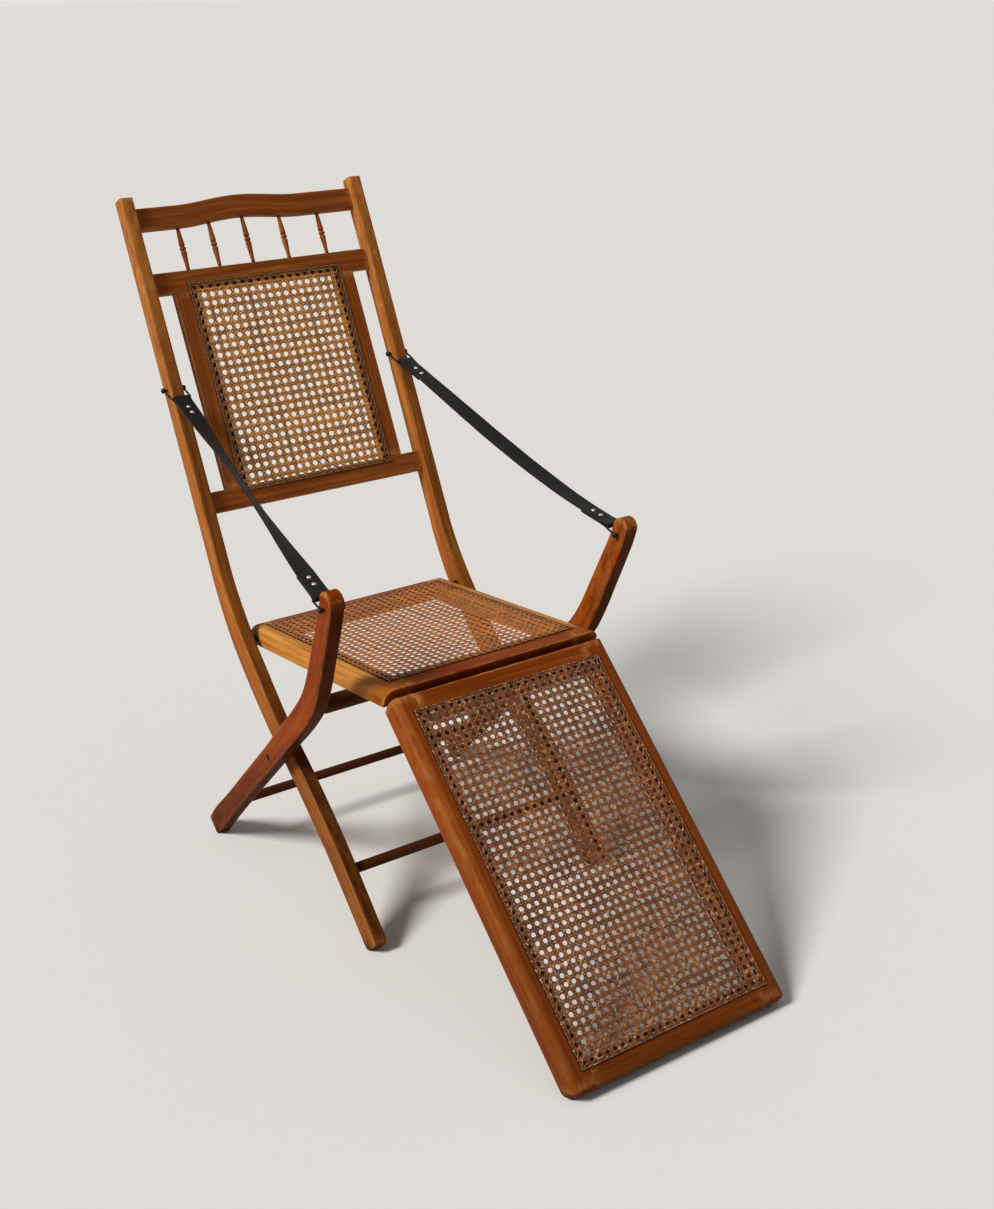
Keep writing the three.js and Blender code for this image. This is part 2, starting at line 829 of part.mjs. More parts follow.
function recesses(face, side, level, target) {
  const toTarget = target.matrixWorld.clone().invert().multiply(level.matrixWorld);
  const right = leafRecess(face, side).applyMatrix4(toTarget);
  const left = leafRecess(face, side).translate(-2 * hingeMiddle, 0, 0).applyMatrix4(toTarget);
  return [right, left];
}

// Round rails with a spigot at each end
function roundRail({ radius, place, reach, spigot }) {
  const shoulder = reach - gap;
  const tip = reach + spigotLength - gap;
  const endRadius = radius * endShare + spigot * (1 - endShare);
  const rows = [
    [0, -tip],
    [spigot, -tip],
    [spigot, -shoulder],
    [endRadius, -shoulder],
    [radius, -shoulder + rungShoulder],
    [radius, shoulder - rungShoulder],
    [endRadius, shoulder],
    [spigot, shoulder],
    [spigot, tip],
    [0, tip],
  ];
  return turnedAcross(rows, place, rungSides);
}

const armInsideAt = (z) => armMiddleAt(z) - armThickness / 2;

const roundRails = {
  front: {
    place: frontStretcher,
    radius: frontStretcherRadius,
    spigot: frontStretcherRadius * spigotShare,
    reach: stileInside,
  },
  rear: {
    place: backStretcher,
    radius: backStretcherRadius,
    spigot: backStretcherRadius * spigotShare,
    reach: armInsideAt(backStretcher[1]),
  },
  seat: {
    place: seatRung,
    radius: seatRungRadius,
    spigot: rungSpigotRadius,
    reach: armInsideAt(seatRung[1]),
  },
};

function spigotBore({ place, spigot, reach }) {
  const inward = reach - rungShoulder;
  return bore(spigot + runningGap, [inward, reach + spigotLength + gap], place, rungSides);
}

// The stiles
function stile() {
  const blank = bentLeg(stileLine, stileThickness, () => stileMiddle, stileTopRound, frontFootRound);
  const mortises = Object.values(backRails).map((rail) => {
    return placedBy(back, block(...railTenon(rail), gap));
  });
  const through = [stileInside - arris, stileOutside + arris];
  const bores = [
    bore(pivotRadius + runningGap, through, pivot),
    bore(bailPinRadius + runningGap, through, stileBailPin, smallSides),
    bore(
      seatPivotRadius + runningGap,
      [stileInside - arris, stileInside + seatPivotDepth],
      seatPivot,
    ),
    spigotBore(roundRails.front),
  ];
  return cut(kept(blank, aboveGround), [...mortises, ...bores]);
}

// The arm posts
function armLeg() {
  const topRound = armLine[0][2] / 2;
  const blank = bentLeg(armLine, armThickness, armMiddleAt, topRound, backFootRound);
  const middle = armMiddleAt(armBailPin[1]);
  const bores = [
    bore(pivotRadius + runningGap, [armInside - arris, armInside + armThickness + arris], pivot),
    bore(bailPinRadius + runningGap, [middle - armThickness, middle + armThickness], armBailPin, smallSides),
    spigotBore(roundRails.rear),
    spigotBore(roundRails.seat),
  ];
  return cut(kept(blank, aboveGround), bores);
}

function pivotPin() {
  const head = stileInside - gap;
  const end = armInside + armThickness - pivotEndInset;
  const rows = [
    [0, head - pivotHeadHeight],
    [pivotHeadRadius * crownShare, head - pivotHeadHeight],
    [pivotHeadRadius, head - pivotHeadHeight / 2],
    [pivotHeadRadius, head],
    [pivotRadius, head],
    [pivotRadius, end],
    [0, end],
  ];
  return turnedAcross(rows, pivot, pinSides);
}

function pivotWasher() {
  const [from, to] = [stileOutside + gap, stileOutside + gap + washerThickness];
  const inside = pivotRadius + runningGap;
  const rows = [
    [inside, from],
    [washerRadius, from],
    [washerRadius, to],
    [inside, to],
    [inside, from],
  ];
  return turnedAcross(rows, pivot, pinSides);
}

// Bails: a wire stirrup with an eye at each end, drawn along +Y from its pin
function bail(reach) {
  const corner = wireRadius * 2;
  const shoulder = reach - corner;
  const ends = [
    [-bailHalf, eyeRadius - wireRadius],
    [-bailHalf, shoulder],
    [-bailHalf + corner * (1 - Math.SQRT1_2), reach - corner * (1 - Math.SQRT1_2)],
    [-bailHalf + corner, reach],
    [bailHalf - corner, reach],
    [bailHalf - corner * (1 - Math.SQRT1_2), reach - corner * (1 - Math.SQRT1_2)],
    [bailHalf, shoulder],
    [bailHalf, eyeRadius - wireRadius],
  ];
  const rings = ends.map(([x, y], index) => {
    const before = ends[Math.max(index - 1, 0)];
    const after = ends[Math.min(index + 1, ends.length - 1)];
    const heading = new THREE.Vector2(after[0] - before[0], after[1] - before[1]).normalize();
    return Array.from({ length: wireSides }, (_, side) => {
      const angle = (-2 * Math.PI * side) / wireSides;
      const out = wireRadius * Math.cos(angle);
      const up = wireRadius * Math.sin(angle);
      return new THREE.Vector3(x + out * heading.y, y - out * heading.x, up);
    });
  });
  const eyes = [-bailHalf, bailHalf].map((x) => {
    return bore(eyeRadius, [x - wireRadius, x + wireRadius], [0, 0], smallSides);
  });
  const holes = bore(bailPinRadius + runningGap, [-far, far], [0, 0], smallSides);
  return cut(joined(loft(rings), eyes), [holes]);
}

function bailPin(middle, place) {
  const inner = bailHalf + wireRadius + gap;
  const outer = inner + bailHeadHeight;
  const rows = [
    [0, -outer],
    [bailHeadRadius * crownShare, -outer],
    [bailHeadRadius, -inner - bailHeadHeight / 2],
    [bailHeadRadius, -inner],
    [bailPinRadius, -inner],
    [bailPinRadius, inner],
    [bailHeadRadius, inner],
    [bailHeadRadius, inner + bailHeadHeight / 2],
    [bailHeadRadius * crownShare, outer],
    [0, outer],
  ];
  return turnedAcross(rows, place, smallSides).translate(middle, 0, 0);
}

// Straps: each runs from the stile's bail to the arm post's bail and folds back under itself at both ends
const stilePin = new THREE.Vector3(stileMiddle, ...stileBailPin);
const armPin = new THREE.Vector3(armMiddleAt(armBailPin[1]), ...armBailPin);
const pull = armPin.clone().sub(stilePin).setX(0).normalize();
const stileBar = stilePin.clone().addScaledVector(pull, stileBailReach);
const armBar = armPin.clone().addScaledVector(pull, -armBailReach);
const run = armBar.clone().sub(stileBar);
const strapSpan = run.length();
const heading = run.clone().normalize();
const upward = new THREE.Vector3().crossVectors(heading, xAxis).normalize();
const loopRadius = wireRadius + gap + strapThickness / 2;
const layer = (strapThickness + gap) / 2;

// Half of a strap's middle line before it sags, as rows of a distance from the bar and a height
function strapEndRows() {
  const rows = [
    [strapFlap, -layer],
    [strapNeck, -layer],
  ];
  for (let step = 0; step <= strapLoopSteps; step += 1) {
    const angle = -Math.PI / 2 - (Math.PI * step) / strapLoopSteps;
    rows.push([loopRadius * Math.cos(angle), loopRadius * Math.sin(angle)]);
  }
  rows.push([strapNeck, layer], [strapFlap, layer]);
  return rows;
}

function strapRows() {
  const start = strapEndRows();
  const end = strapEndRows().map(([along, up]) => [strapSpan - along, up]).reverse();
  const between = Array.from({ length: strapRunSteps - 1 }, (_, step) => {
    return [strapFlap + ((strapSpan - 2 * strapFlap) * (step + 1)) / strapRunSteps, layer];
  });
  return [...start, ...between, ...end];
}

// Where a strap hangs, from a distance along it and a height off its middle
function hung(along, up, { sag, lowerSag }) {
  const share = THREE.MathUtils.clamp(along / strapSpan, 0, 1);
  const drop = share * (1 - share) * (sag + lowerSag * share);
  const steep = ((1 - 2 * share) * (sag + lowerSag * share) + share * (1 - share) * lowerSag) / strapSpan;
  const past = along - share * strapSpan;
  const out = upward.clone().addScaledVector(heading, steep).normalize();
  const level = stileBar.clone().addScaledVector(heading, along);
  return level.addScaledVector(upward, -drop - steep * past).addScaledVector(out, up);
}

const sectionCorners = [
  [1, -1],
  [1, 1],
  [-1, 1],
  [-1, -1],
];

function strap(hanging) {
  const rows = strapRows();
  const places = rows.map(([along, up]) => hung(along, up, hanging));
  const rings = places.map((place, index) => {
    const before = places[Math.max(index - 1, 0)];
    const after = places[Math.min(index + 1, places.length - 1)];
    const faceUp = after.clone().sub(before).normalize().cross(xAxis);
    const share = THREE.MathUtils.clamp((rows[index][0] - strapFlap) / (strapSpan - 2 * strapFlap), 0, 1);
    const turn = THREE.MathUtils.degToRad(hanging.twist) * Math.sin(Math.PI * share);
    const wide = xAxis.clone().multiplyScalar(Math.cos(turn)).addScaledVector(faceUp, Math.sin(turn));
    const thick = faceUp.multiplyScalar(Math.cos(turn)).addScaledVector(xAxis, -Math.sin(turn));
    return sectionCorners.map(([width, thickness]) => {
      const point = place.clone().addScaledVector(wide, (width * strapWidth) / 2);
      return point.addScaledVector(thick, (thickness * strapThickness) / 2);
    });
  });
  return cut(loft(rings), rivetStations.map((station) => rivetBore(station, hanging)));
}

const rivetStations = [...rivetPlaces, ...rivetPlaces.map((place) => strapSpan - place).reverse()];

function alongRivet(rows, station, hanging) {
  const place = hung(station, 0, hanging);
  const out = hung(station, 1, hanging).sub(place);
  const turn = new THREE.Quaternion().setFromUnitVectors(yAxis, out);
  return turnedUp(rows, smallSides).applyQuaternion(turn).translate(place.x, place.y, place.z);
}

function rivetBore(station, hanging) {
  const radius = rivetRadius + runningGap;
  const reach = 2 * strapThickness;
  const rows = [
    [0, -reach],
    [radius, -reach],
    [radius, reach],
    [0, reach],
  ];
  return alongRivet(rows, station, hanging);
}

function rivet(station, hanging) {
  const seatHeight = layer + strapThickness / 2 + gap;
  const rows = [
    [0, -seatHeight - rivetTailHeight],
    [rivetTailRadius, -seatHeight - rivetTailHeight],
    [rivetTailRadius, -seatHeight],
    [rivetRadius, -seatHeight],
    [rivetRadius, seatHeight],
    [rivetHeadRadius, seatHeight],
    [rivetHeadRadius * crownShare, seatHeight + rivetHeadHeight],
    [0, seatHeight + rivetHeadHeight],
  ];
  return alongRivet(rows, station, hanging);
}

function bailAt(pin, reach, towards) {
  const turn = Math.atan2(towards.z, towards.y);
  return bail(reach).rotateX(turn).translate(pin.x, pin.y, pin.z);
}

// The back frame
addPair("stile", stile(), "paleWood");
const upperBores = balusterPlaces.map((x) => {
  return balusterBore(x, [backRails.crest[0] - gap, backRails.crest[0] + humpAt(x) + balusterSpigot]);
});
const lowerBores = balusterPlaces.map((x) => {
  return balusterBore(x, [backRails.mid[1] - balusterSpigot, backRails.mid[1] + gap]);
});
const crest = withTenons(railBody(crestOutline()), backRails.crest);
addPiece("crest_rail", cut(crest, upperBores), "wood", back);
addPiece("mid_rail", cut(straightRail(backRails.mid), [...lowerBores, ...panelMortises()]), "wood", back);
addPiece("lower_back_rail", cut(straightRail(backRails.lower), panelMortises()), "wood", back);
balusterPlaces.forEach((x, index) => addPiece(`baluster_${index + 1}`, baluster(x), "wood", back));
addPair("back_panel_stile", panelStile(), "wood", back);
addPiece("back_cane", caneSheet(backCane), "cane", back);
addPiece("front_stretcher", roundRail(roundRails.front), "darkWood");

// The frame of arm posts and back legs
addPair("arm_leg", armLeg(), "wood");
addPiece("seat_rung", roundRail(roundRails.seat), "darkWood");
addPiece("rear_stretcher", roundRail(roundRails.rear), "darkWood");
addPair("pivot_pin", pivotPin(), "iron");
addPair("pivot_washer", pivotWasher(), "iron");

// The seat
const seatFrontBlank = seatCrossRail(seatRails.front, seatTenonReaches.front);
addPair("seat_side_rail", seatSideRail(), "paleWood", seat);
addPiece("seat_front_rail", cut(seatFrontBlank, recesses(seatFace, 1, seatLeafLevel, seat)), "wood", seat);
addPiece("seat_back_rail", seatCrossRail(seatRails.back, seatTenonReaches.back), "wood", seat);
addPiece("seat_cane", caneSheet(seatCane), "cane", seat);
addPair("seat_pivot", seatPivotPin(), "iron");

// The leg rest
const restTopBlank = restCrossRail(restRails.top, restTenonReaches.top);
addPair("rest_side_rail", restSideRail(), "wood", rest);
addPiece("rest_top_rail", cut(restTopBlank, recesses(restFace, -1, restLeafLevel, rest)), "wood", rest);
addPiece("rest_bottom_rail", restCrossRail(restRails.bottom, restTenonReaches.bottom), "wood", rest);
addPiece("rest_cane", caneSheet(restCane), "darkCane", rest);

// The hinges
chair.add(seatLeafLevel, restLeafLevel);
addPair("hinge_seat_leaf", leaf(seatFace, 1, [0, 2]), "brass", seatLeafLevel);
addPair("hinge_rest_leaf", leaf(restFace, -1, [1]), "brass", restLeafLevel);
addPair("hinge_pin", hingePin(), "brass", seatLeafLevel);

// The straps and what holds them
addPair("stile_bail_pin", bailPin(stilePin.x, stileBailPin), "steel");
addPair("arm_bail_pin", bailPin(armPin.x, armBailPin), "steel");
addPair("stile_bail", bailAt(stilePin, stileBailReach, pull), "steel");
addPair("arm_bail", bailAt(armPin, armBailReach, pull.clone().negate()), "steel");
Object.entries(strapSides).forEach(([side, hanging]) => {
  addPiece(`strap_${side}`, strap(hanging), "leather").scale.x = hanging.mirror;
  rivetStations.forEach((station, index) => {
    addPiece(`rivet_${side}_${index + 1}`, rivet(station, hanging), "steel").scale.x = hanging.mirror;
  });
});

// The chair stands with the middle of its length over the origin
const extent = new THREE.Box3().setFromObject(chair);
chair.position.y = -(extent.min.y + extent.max.y) / 2;

export default chair;
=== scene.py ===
"""A folding steamer deck chair in varnished wood with three caned panels and two leather straps.

Tables and drawings are in millimetres, in the chair's own frame: X across, the sitter faces -Y, Z up.
Blender's own unit is the metre, so new_piece scales by MM what it makes.
"""

import math

import bmesh
import bpy
import numpy as np
from bpy.props import FloatProperty, FloatVectorProperty, PointerProperty
from mathutils import Matrix, Vector


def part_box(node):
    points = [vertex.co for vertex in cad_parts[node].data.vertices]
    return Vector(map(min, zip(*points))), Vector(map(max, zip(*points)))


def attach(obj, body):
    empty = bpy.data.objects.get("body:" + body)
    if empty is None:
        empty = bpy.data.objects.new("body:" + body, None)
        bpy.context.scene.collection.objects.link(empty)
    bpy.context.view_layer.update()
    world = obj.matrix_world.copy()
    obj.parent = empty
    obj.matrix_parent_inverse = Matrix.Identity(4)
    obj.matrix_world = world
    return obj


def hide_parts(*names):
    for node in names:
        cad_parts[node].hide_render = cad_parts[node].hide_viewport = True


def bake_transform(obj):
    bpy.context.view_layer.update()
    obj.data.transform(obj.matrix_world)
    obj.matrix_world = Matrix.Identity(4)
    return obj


bl_info = {
    "name": "Steamer deck chair",
    "version": (1, 0, 0),
    "blender": (4, 5, 0),
    "location": "3D View > Sidebar > Deck chair",
    "description": "Builds the visible pieces of a folding, caned steamer chair round its solid model",
    "category": "Object",
}

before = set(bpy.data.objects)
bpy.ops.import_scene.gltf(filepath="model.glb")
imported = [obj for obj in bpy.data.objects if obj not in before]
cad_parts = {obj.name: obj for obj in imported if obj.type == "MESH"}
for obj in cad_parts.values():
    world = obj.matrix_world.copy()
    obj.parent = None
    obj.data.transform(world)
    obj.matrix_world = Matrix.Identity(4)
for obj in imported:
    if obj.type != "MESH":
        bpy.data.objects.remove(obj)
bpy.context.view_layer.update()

MM = 0.001

# Clearances and the small rounding of sawn edges; an edge rounder than KEEN_RADIUS wears only a little
GAP = 0.3
ARRIS = 3.2
RAIL_ARRIS = 1.6
CREST_UNDER_ROUND = 6.0
KEEN_RADIUS = 6.0
BROAD_WEAR = 0.35
# How far sawn ends are eased, and how much less than half its depth the round of an arm post's top is
LEG_TOP_EASE = 1.6
LEG_FOOT_EASE = 2.2
ARM_TOP_EASE = 3.5
ARM_TOP_SHORT = 0.1
SIDE_RAIL_EASE = 1.2
BOARD_EASE = 0.8
PANEL_STILE_EASE = 0.4
# How many rings of points run along a wooden piece
LEG_STEPS = 150
SIDE_RAIL_STEPS = 60
BACK_RAIL_STEPS = 60
BOARD_STEPS = 24
# Points of a mesh that lie closer than this, in metres, are joined, and flat faces keep their own shading
WELD = 1e-6
FLATNESS = 80

# Widths across the chair
SEAT_HALF = 188.0
STILE_THICKNESS = 21.5
STILE_INSIDE = 197.5
STILE_OUTSIDE = STILE_INSIDE + STILE_THICKNESS
STILE_MIDDLE = STILE_INSIDE + STILE_THICKNESS / 2
ARM_THICKNESS = 23.5
WASHER_THICKNESS = 6.2
ARM_INSIDE = STILE_OUTSIDE + WASHER_THICKNESS + 2 * GAP
ARM_MIDDLE = ARM_INSIDE + ARM_THICKNESS / 2
ARM_LEAN = 0.05
ARM_LEAN_FROM = 262.0
ARM_LEAN_EASE = 30.0

# The middle line of a stile and of an arm post from top to foot: Y, Z and the depth there
STILE_LINE = [
    (576, 1024, 28.5),
    (452.5, 758, 31.5),
    (329, 492, 34.5),
    (307, 446, 36),
    (263, 380, 41),
    (208, 320, 42),
    (150, 264, 39.5),
    (102, 226, 39.5),
    (55, 188, 41),
    (-15, 126, 40.5),
    (-71, 69, 39.5),
    (-130, 6.5, 38),
]
ARM_LINE = [
    (-134, 588, 31),
    (-127, 562.5, 32),
    (-110, 523, 33.5),
    (-87, 474, 35.5),
    (-74, 445, 36.5),
    (-45, 392, 38),
    (-8, 350, 38),
    (62, 284, 36),
    (112, 235.5, 34.5),
    (191, 160, 34),
    (270, 84, 34),
    (319, 37, 37),
    (345, 9, 35),
]
STILE_TOP_ROUND = 5.0
FRONT_FOOT_ROUND = 9.0
BACK_FOOT_ROUND = 5.0

# Places in the side view: Y and Z
PIVOT = (112.0, 235.5)
FRONT_STRETCHER = (-47.0, 97.0)
REAR_STRETCHER = (276.0, 81.0)
SEAT_RUNG = (-35.0, 374.4)
STILE_BAIL_PIN = (445.0, 742.0)
ARM_BAIL_PIN = (-127.0, 562.5)

# Round rails: their radii, the share of a radius that is left at an end, over what length an end tapers, and
# where the plain stretch starts
FRONT_STRETCHER_RADIUS = 8.2
REAR_STRETCHER_RADIUS = 7.8
SEAT_RUNG_RADIUS = 13.3
ROUND_END_SHARE = 0.7
ROUND_TAPER = 7.0
ROUND_PLAIN_FROM = 20.0

# The back, drawn flat
BACK_THICKNESS = 15.0
LOWER_RAIL = (0.0, 34.3)
MID_RAIL = (359.4, 394.4)
CREST_RAIL = (465.8, 501.8)
CREST_RISE = 8.0
CREST_HUMP_MIDDLE = -15.0
CREST_HUMP_HALF = 112.0
PANEL_STILE = (126.0, 164.5)
BALUSTER_PLACES = (-128, -72, -11, 56, 128)

# A baluster's radii, and where its parts lie as shares of its length
BALUSTER_TIP = 3.1
BALUSTER_THIN = 3.15
BALUSTER_SWELL = 1.9
BALUSTER_NECK = 4.0
GROOVE_RADIUS = 3.6
BEAD_SWELL = 1.3
BALUSTER_COLLAR = 0.06
LOWER_TAPER = (0.08, 0.44)
UPPER_TAPER = (0.59, 0.94)
BEAD_MIDDLE = 0.515
BEAD_HALF = 0.032
GROOVE_SHARES = (0.465, 0.565)
GROOVE_HALF = 0.013
GROOVE_DIRT_AND_SHADE_HALF = 0.007

# The seat and the leg rest, drawn flat
SIDE_RAIL_WIDTH = 38.0
NOSE_ROUND = 16.0
UNDER_ROUND = 2.5
INNER_ROUND = 0.8
SEAT_LENGTH = 430.0
SEAT_THICKNESS = 28.0
SEAT_FRONT_RAIL = 46.0
SEAT_BACK_RAIL = 28.0
SEAT_UNDERCUT = 15.0
REST_LENGTH = 586.0
REST_THICKNESS = 31.0
REST_END_RAIL = 40.0
REST_END_CUT = 8.0
REST_END_ROUND = 4.0
REST_LOWER_ROUND = 10.0
REST_CORNER_ROUND = 15.0
REST_FOOT_CUT = 27.18
REST_SLOPE = math.radians(43.29)
# The hinges' pins in the side view, and how far they lie past the top rail's lower edge and below it
REST_HINGE_PLACE = (-142.6, 396.0)
REST_HINGE = (3.84, -0.25)
CROSS_RAIL_HALF = SEAT_HALF - SIDE_RAIL_WIDTH - GAP
SEAT_FRONT_NOSE = 2.0
REST_FOOT_NOSE = 0.4

# Caned panels: half the width, then from where to where along the frame
BACK_CANE = (140.5, (23.9, 374.1))
SEAT_CANE = (165.0, (32.0, 416.0))
REST_CANE = (163.5, (26.0, 561.0))
# How far the strips of each are stained, and darkened with painted shade, where they lie on the frame
BACK_CANE_STAIN_AND_SHADE = 0.68
SEAT_CANE_STAIN_AND_SHADE = 0.35
REST_CANE_STAIN_AND_SHADE = 0.0
# Strips: how far apart in the cane they are cut, how their widths and places vary, how far from the middle of
# a hole each of a pair ends, and how they dip into the holes
STRIPS_APART = 900.0
STRIP_WIDTHS = (0.9, 1.08)
STRIP_WANDER = 0.07
PAIR_AT_HOLE = 0.5
HOLE_DEPTH = -1.6
DIP_FROM = 1.9
DIP_LEVEL = 0.7
# The strip that binds a panel's edge, and the loops that tie it down
BINDING_RISE = 0.9
BINDING_PAST = 1.5
BINDING_WAVE = 0.25
BINDING_TURN = 0.9
LOOP_CLEARANCE = 0.6
LOOP_RISE = 1.9
LOOP_DROP = 0.9
LOOP_WIDTH_SHARE = 0.85
# Wood at the edge of a panel, dark with dirt and painted shade, and bores with a worn rim, painted dark for
# the shade inside them: rows of a radius and a height
MARGIN_HALF = 0.06
BORE_ROWS = ((0.0, -0.1), (2.7, -0.1), (2.7, 0.14), (2.2, 0.14), (0.0, 0.08))
BORE_SIDES = 12

# Straps, the bails that hold them, and how each strap hangs
WIRE_RADIUS = 1.6
WIRE_SIDES = 14
BAIL_HALF = 16.6
BAIL_EYE_RADIUS = 3.0
BAIL_PIN_RADIUS = 2.0
BAIL_PIN_HEAD = (4.2, 2.4)
# Under its rim a pin's head narrows to this share of its radius over this length
HEAD_UNDER_SHARE = 0.97
HEAD_UNDER = 0.1
BAIL_CORNER = 2.4 * WIRE_RADIUS
BAIL_LEG_FROM = 8.0
# An eye's wire runs between these half turns, as far out as this share of its radius
BAIL_EYE_TURNS = (-1.35, 0.35)
BAIL_EYE_SHARE = 0.9
STILE_BAIL_REACH = 30.0
ARM_BAIL_REACH = 25.0
STRAP_FLAP = 58.0
STRAP_NECK = 14.0
STRAP_LAYER_GAP = 0.3
# A strap's seams lie this many rows past its folds, and each part runs this far past a seam, so that the seam
# doesn't show in its shading
STRAP_SEAM_ROWS = 6
STRAP_SEAM = 0.02
# A strap's middle is cupped across and ripples along, and its edges are rounded and scuffed, in shares of
# half its thickness and half its width
STRAP_CUP = 0.7
STRAP_RIPPLE = 0.9
STRAP_EDGE_ROUND = 0.7
STRAP_SCUFFED_FROM = 0.94
# Where the two rivets of a fold stand, their heads outside and inside as a radius and a height, how far off
# the leather they are, and their shank
RIVET_PLACES = (30.0, 47.0)
RIVET_HEAD = (3.4, 1.6)
RIVET_TAIL = (2.9, 0.9)
RIVET_CLEARANCE = 0.05
RIVET_SHANK_RADIUS = 1.5
RIVET_SINK = 0.3
STRAP_HANGING = {
    "right": {"mirror": 1, "twist": 9, "sag": 20, "lower_sag": 60},
    "left": {"mirror": -1, "twist": 44, "sag": 0, "lower_sag": 26},
}

# Pivots: a domed head inside, a shank, and a riveted end on the arm post, in rows of a radius and how far out
PIVOT_HEAD = (7.5, 2.4)
PIVOT_NECK_RADIUS = 7.4
PIVOT_RADIUS = 4.0
PIVOT_END_ROWS = ((4.0, 0.1), (5.2, 0.1), (5.2, 0.5), (4.7, 0.9), (3.2, 1.2), (0.0, 1.4))
# Washers: their radii and how far their edges are eased
WASHER_RADIUS = 12.0
WASHER_BORE_RADIUS = 4.3
WASHER_EASE = 0.5
WASHER_BORE_EASE = 0.4

# The stage, in metres and degrees, and the film in millimetres
FLOOR_HALF = 60.0
KEY_FROM = (-0.74, 0.02, 0.66)
KEY_SOFTNESS = 18.0
CAMERA_PLACE = (-1.2074, -1.90788, 1.37053)
CAMERA_AZIMUTH = -34.534
CAMERA_ELEVATION = 21.883
CAMERA_ROLL = -0.808
FILM_WIDTH = 36.0

# The way across the chair
X_AXIS = np.array([1.0, 0.0, 0.0])


def linear(colour):
    """An sRGB hex colour as linear RGBA."""
    channels = [int(colour[start : start + 2], 16) / 255 for start in (1, 3, 5)]
    return [c / 12.92 if c <= 0.04045 else ((c + 0.055) / 1.055) ** 2.4 for c in channels] + [1.0]


# How far the solid model was moved along Y to stand over the origin
low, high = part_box("front_stretcher")
LENGTH_SHIFT = (low.y + high.y) / 2 / MM - FRONT_STRETCHER[0]


class Drawing:
    """A flat drawing that stands tilted in the side view: Y up its slope, Z out of its face."""

    def __init__(self, place, slope):
        self.place = place
        self.slope = slope

    def __call__(self, x, y, z):
        sine, cosine = math.sin(self.slope), math.cos(self.slope)
        across = self.place[0] + y * cosine - z * sine
        up = self.place[1] + y * sine + z * cosine
        return np.stack([x + 0 * y, across + 0 * x, up + 0 * x], axis=-1)


def swung_from(pin, point, slope):
    """The drawing of a board whose point lies on a pin."""
    corner = Drawing((0.0, 0.0), slope)(np.array(0.0), np.array(point[0]), np.array(point[1]))
    return Drawing((pin[0] - corner[1], pin[1] - corner[2]), slope)


BACK = Drawing((353.4, 555.5), math.radians(64.72))
SEAT = Drawing((-152.5, 428.8), math.radians(-5.86))
rest_pin = (REST_LENGTH - REST_END_CUT + REST_HINGE[0], -REST_THICKNESS + REST_HINGE[1])
REST = swung_from(REST_HINGE_PLACE, rest_pin, REST_SLOPE)


# Meshes


def new_piece(name, points, faces, body, material, replaces=(), marks=None, sharp=False):
    """A mesh from points in millimetres, with its marks as attributes, riding on a body."""
    points = np.asarray(points, float).reshape(-1, 3).copy()
    points[:, 1] += LENGTH_SHIFT
    mesh = bpy.data.meshes.new(name)
    mesh.from_pydata((points * MM).tolist(), [], np.asarray(faces).tolist())
    for mark, values in (marks or {}).items():
        values = np.asarray(values, np.float32)
        kind = "FLOAT_VECTOR" if values.ndim == 2 else "FLOAT"
        attribute = mesh.attributes.new(mark, kind, "POINT")
        attribute.data.foreach_set("vector" if values.ndim == 2 else "value", values.ravel())
    work = bmesh.new()
    work.from_mesh(mesh)
    bmesh.ops.remove_doubles(work, verts=work.verts, dist=WELD)
    bmesh.ops.recalc_face_normals(work, faces=work.faces)
    work.to_mesh(mesh)
    work.free()
    mesh.shade_smooth()
    mesh.materials.append(material)
    piece = bpy.data.objects.new(name, mesh)
    bpy.context.scene.collection.objects.link(piece)
    if sharp:
        modifier = piece.modifiers.new("flat faces stay flat", "WEIGHTED_NORMAL")
        modifier.weight = FLATNESS
    if body:
        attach(piece, body)
    if replaces:
        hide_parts(*replaces)
    return piece


def grid_faces(rings, around):
    """Quads that join each closed ring of points to the next."""
    ring = np.arange(rings - 1)[:, None] * around
    side = np.arange(around)[None, :]
    after = (side + 1) % around
    corners = [ring + side, ring + after, ring + around + after, ring + around + side]
    return np.stack(corners, -1).reshape(-1, 4)


def rectangle(across, deep):
    """The corners of a rectangle between two places across and two deep."""
    return [(across[0], deep[0]), (across[1], deep[0]), (across[1], deep[1]), (across[0], deep[1])]


def rounded(corners, radii, steps=5, between=7):
    """A closed outline with each corner rounded and each side divided, so that a curved end can follow it.
    Rows of across, deep and how much of an edge it is."""
    corners = np.array(corners, float)
    rows = []
    for index, corner in enumerate(corners):
        to_before = corners[index - 1] - corner
        to_after = corners[(index + 1) % len(corners)] - corner
        to_before /= np.linalg.norm(to_before)
        to_after /= np.linalg.norm(to_after)
        half_angle = math.acos(np.clip(to_before @ to_after, -1, 1)) / 2
        reach = radii[index] / math.tan(half_angle)
        start, end = corner + to_before * reach, corner + to_after * reach
        weight = math.sin(half_angle)
        keenness = 1.0 if radii[index] < KEEN_RADIUS else BROAD_WEAR
        for share in np.linspace(0, 1, steps + 1):
            parts = np.array([(1 - share) ** 2, 2 * weight * share * (1 - share), share**2])
            point = (parts[0] * start + parts[1] * corner + parts[2] * end) / parts.sum()
            rows.append([*point, keenness * math.sin(math.pi * share)])
    outline = []
    for index, row in enumerate(rows):
        outline.append(row)
        if index % (steps + 1) == steps:
            after = rows[(index + 1) % len(rows)]
            for share in np.linspace(0, 1, between + 2)[1:-1]:
                outline.append([(1 - share) * a + share * b for a, b in zip(row, after)])
    return np.array(outline)


# An end face's rings: shares of the way out from its middle, then shares of the rounding of its edge
FACE_SHARES = (0.0, 0.4, 0.75)
EDGE_SHARES = (1.0, 0.75, 0.5, 0.3, 0.16, 0.06, 0.0)


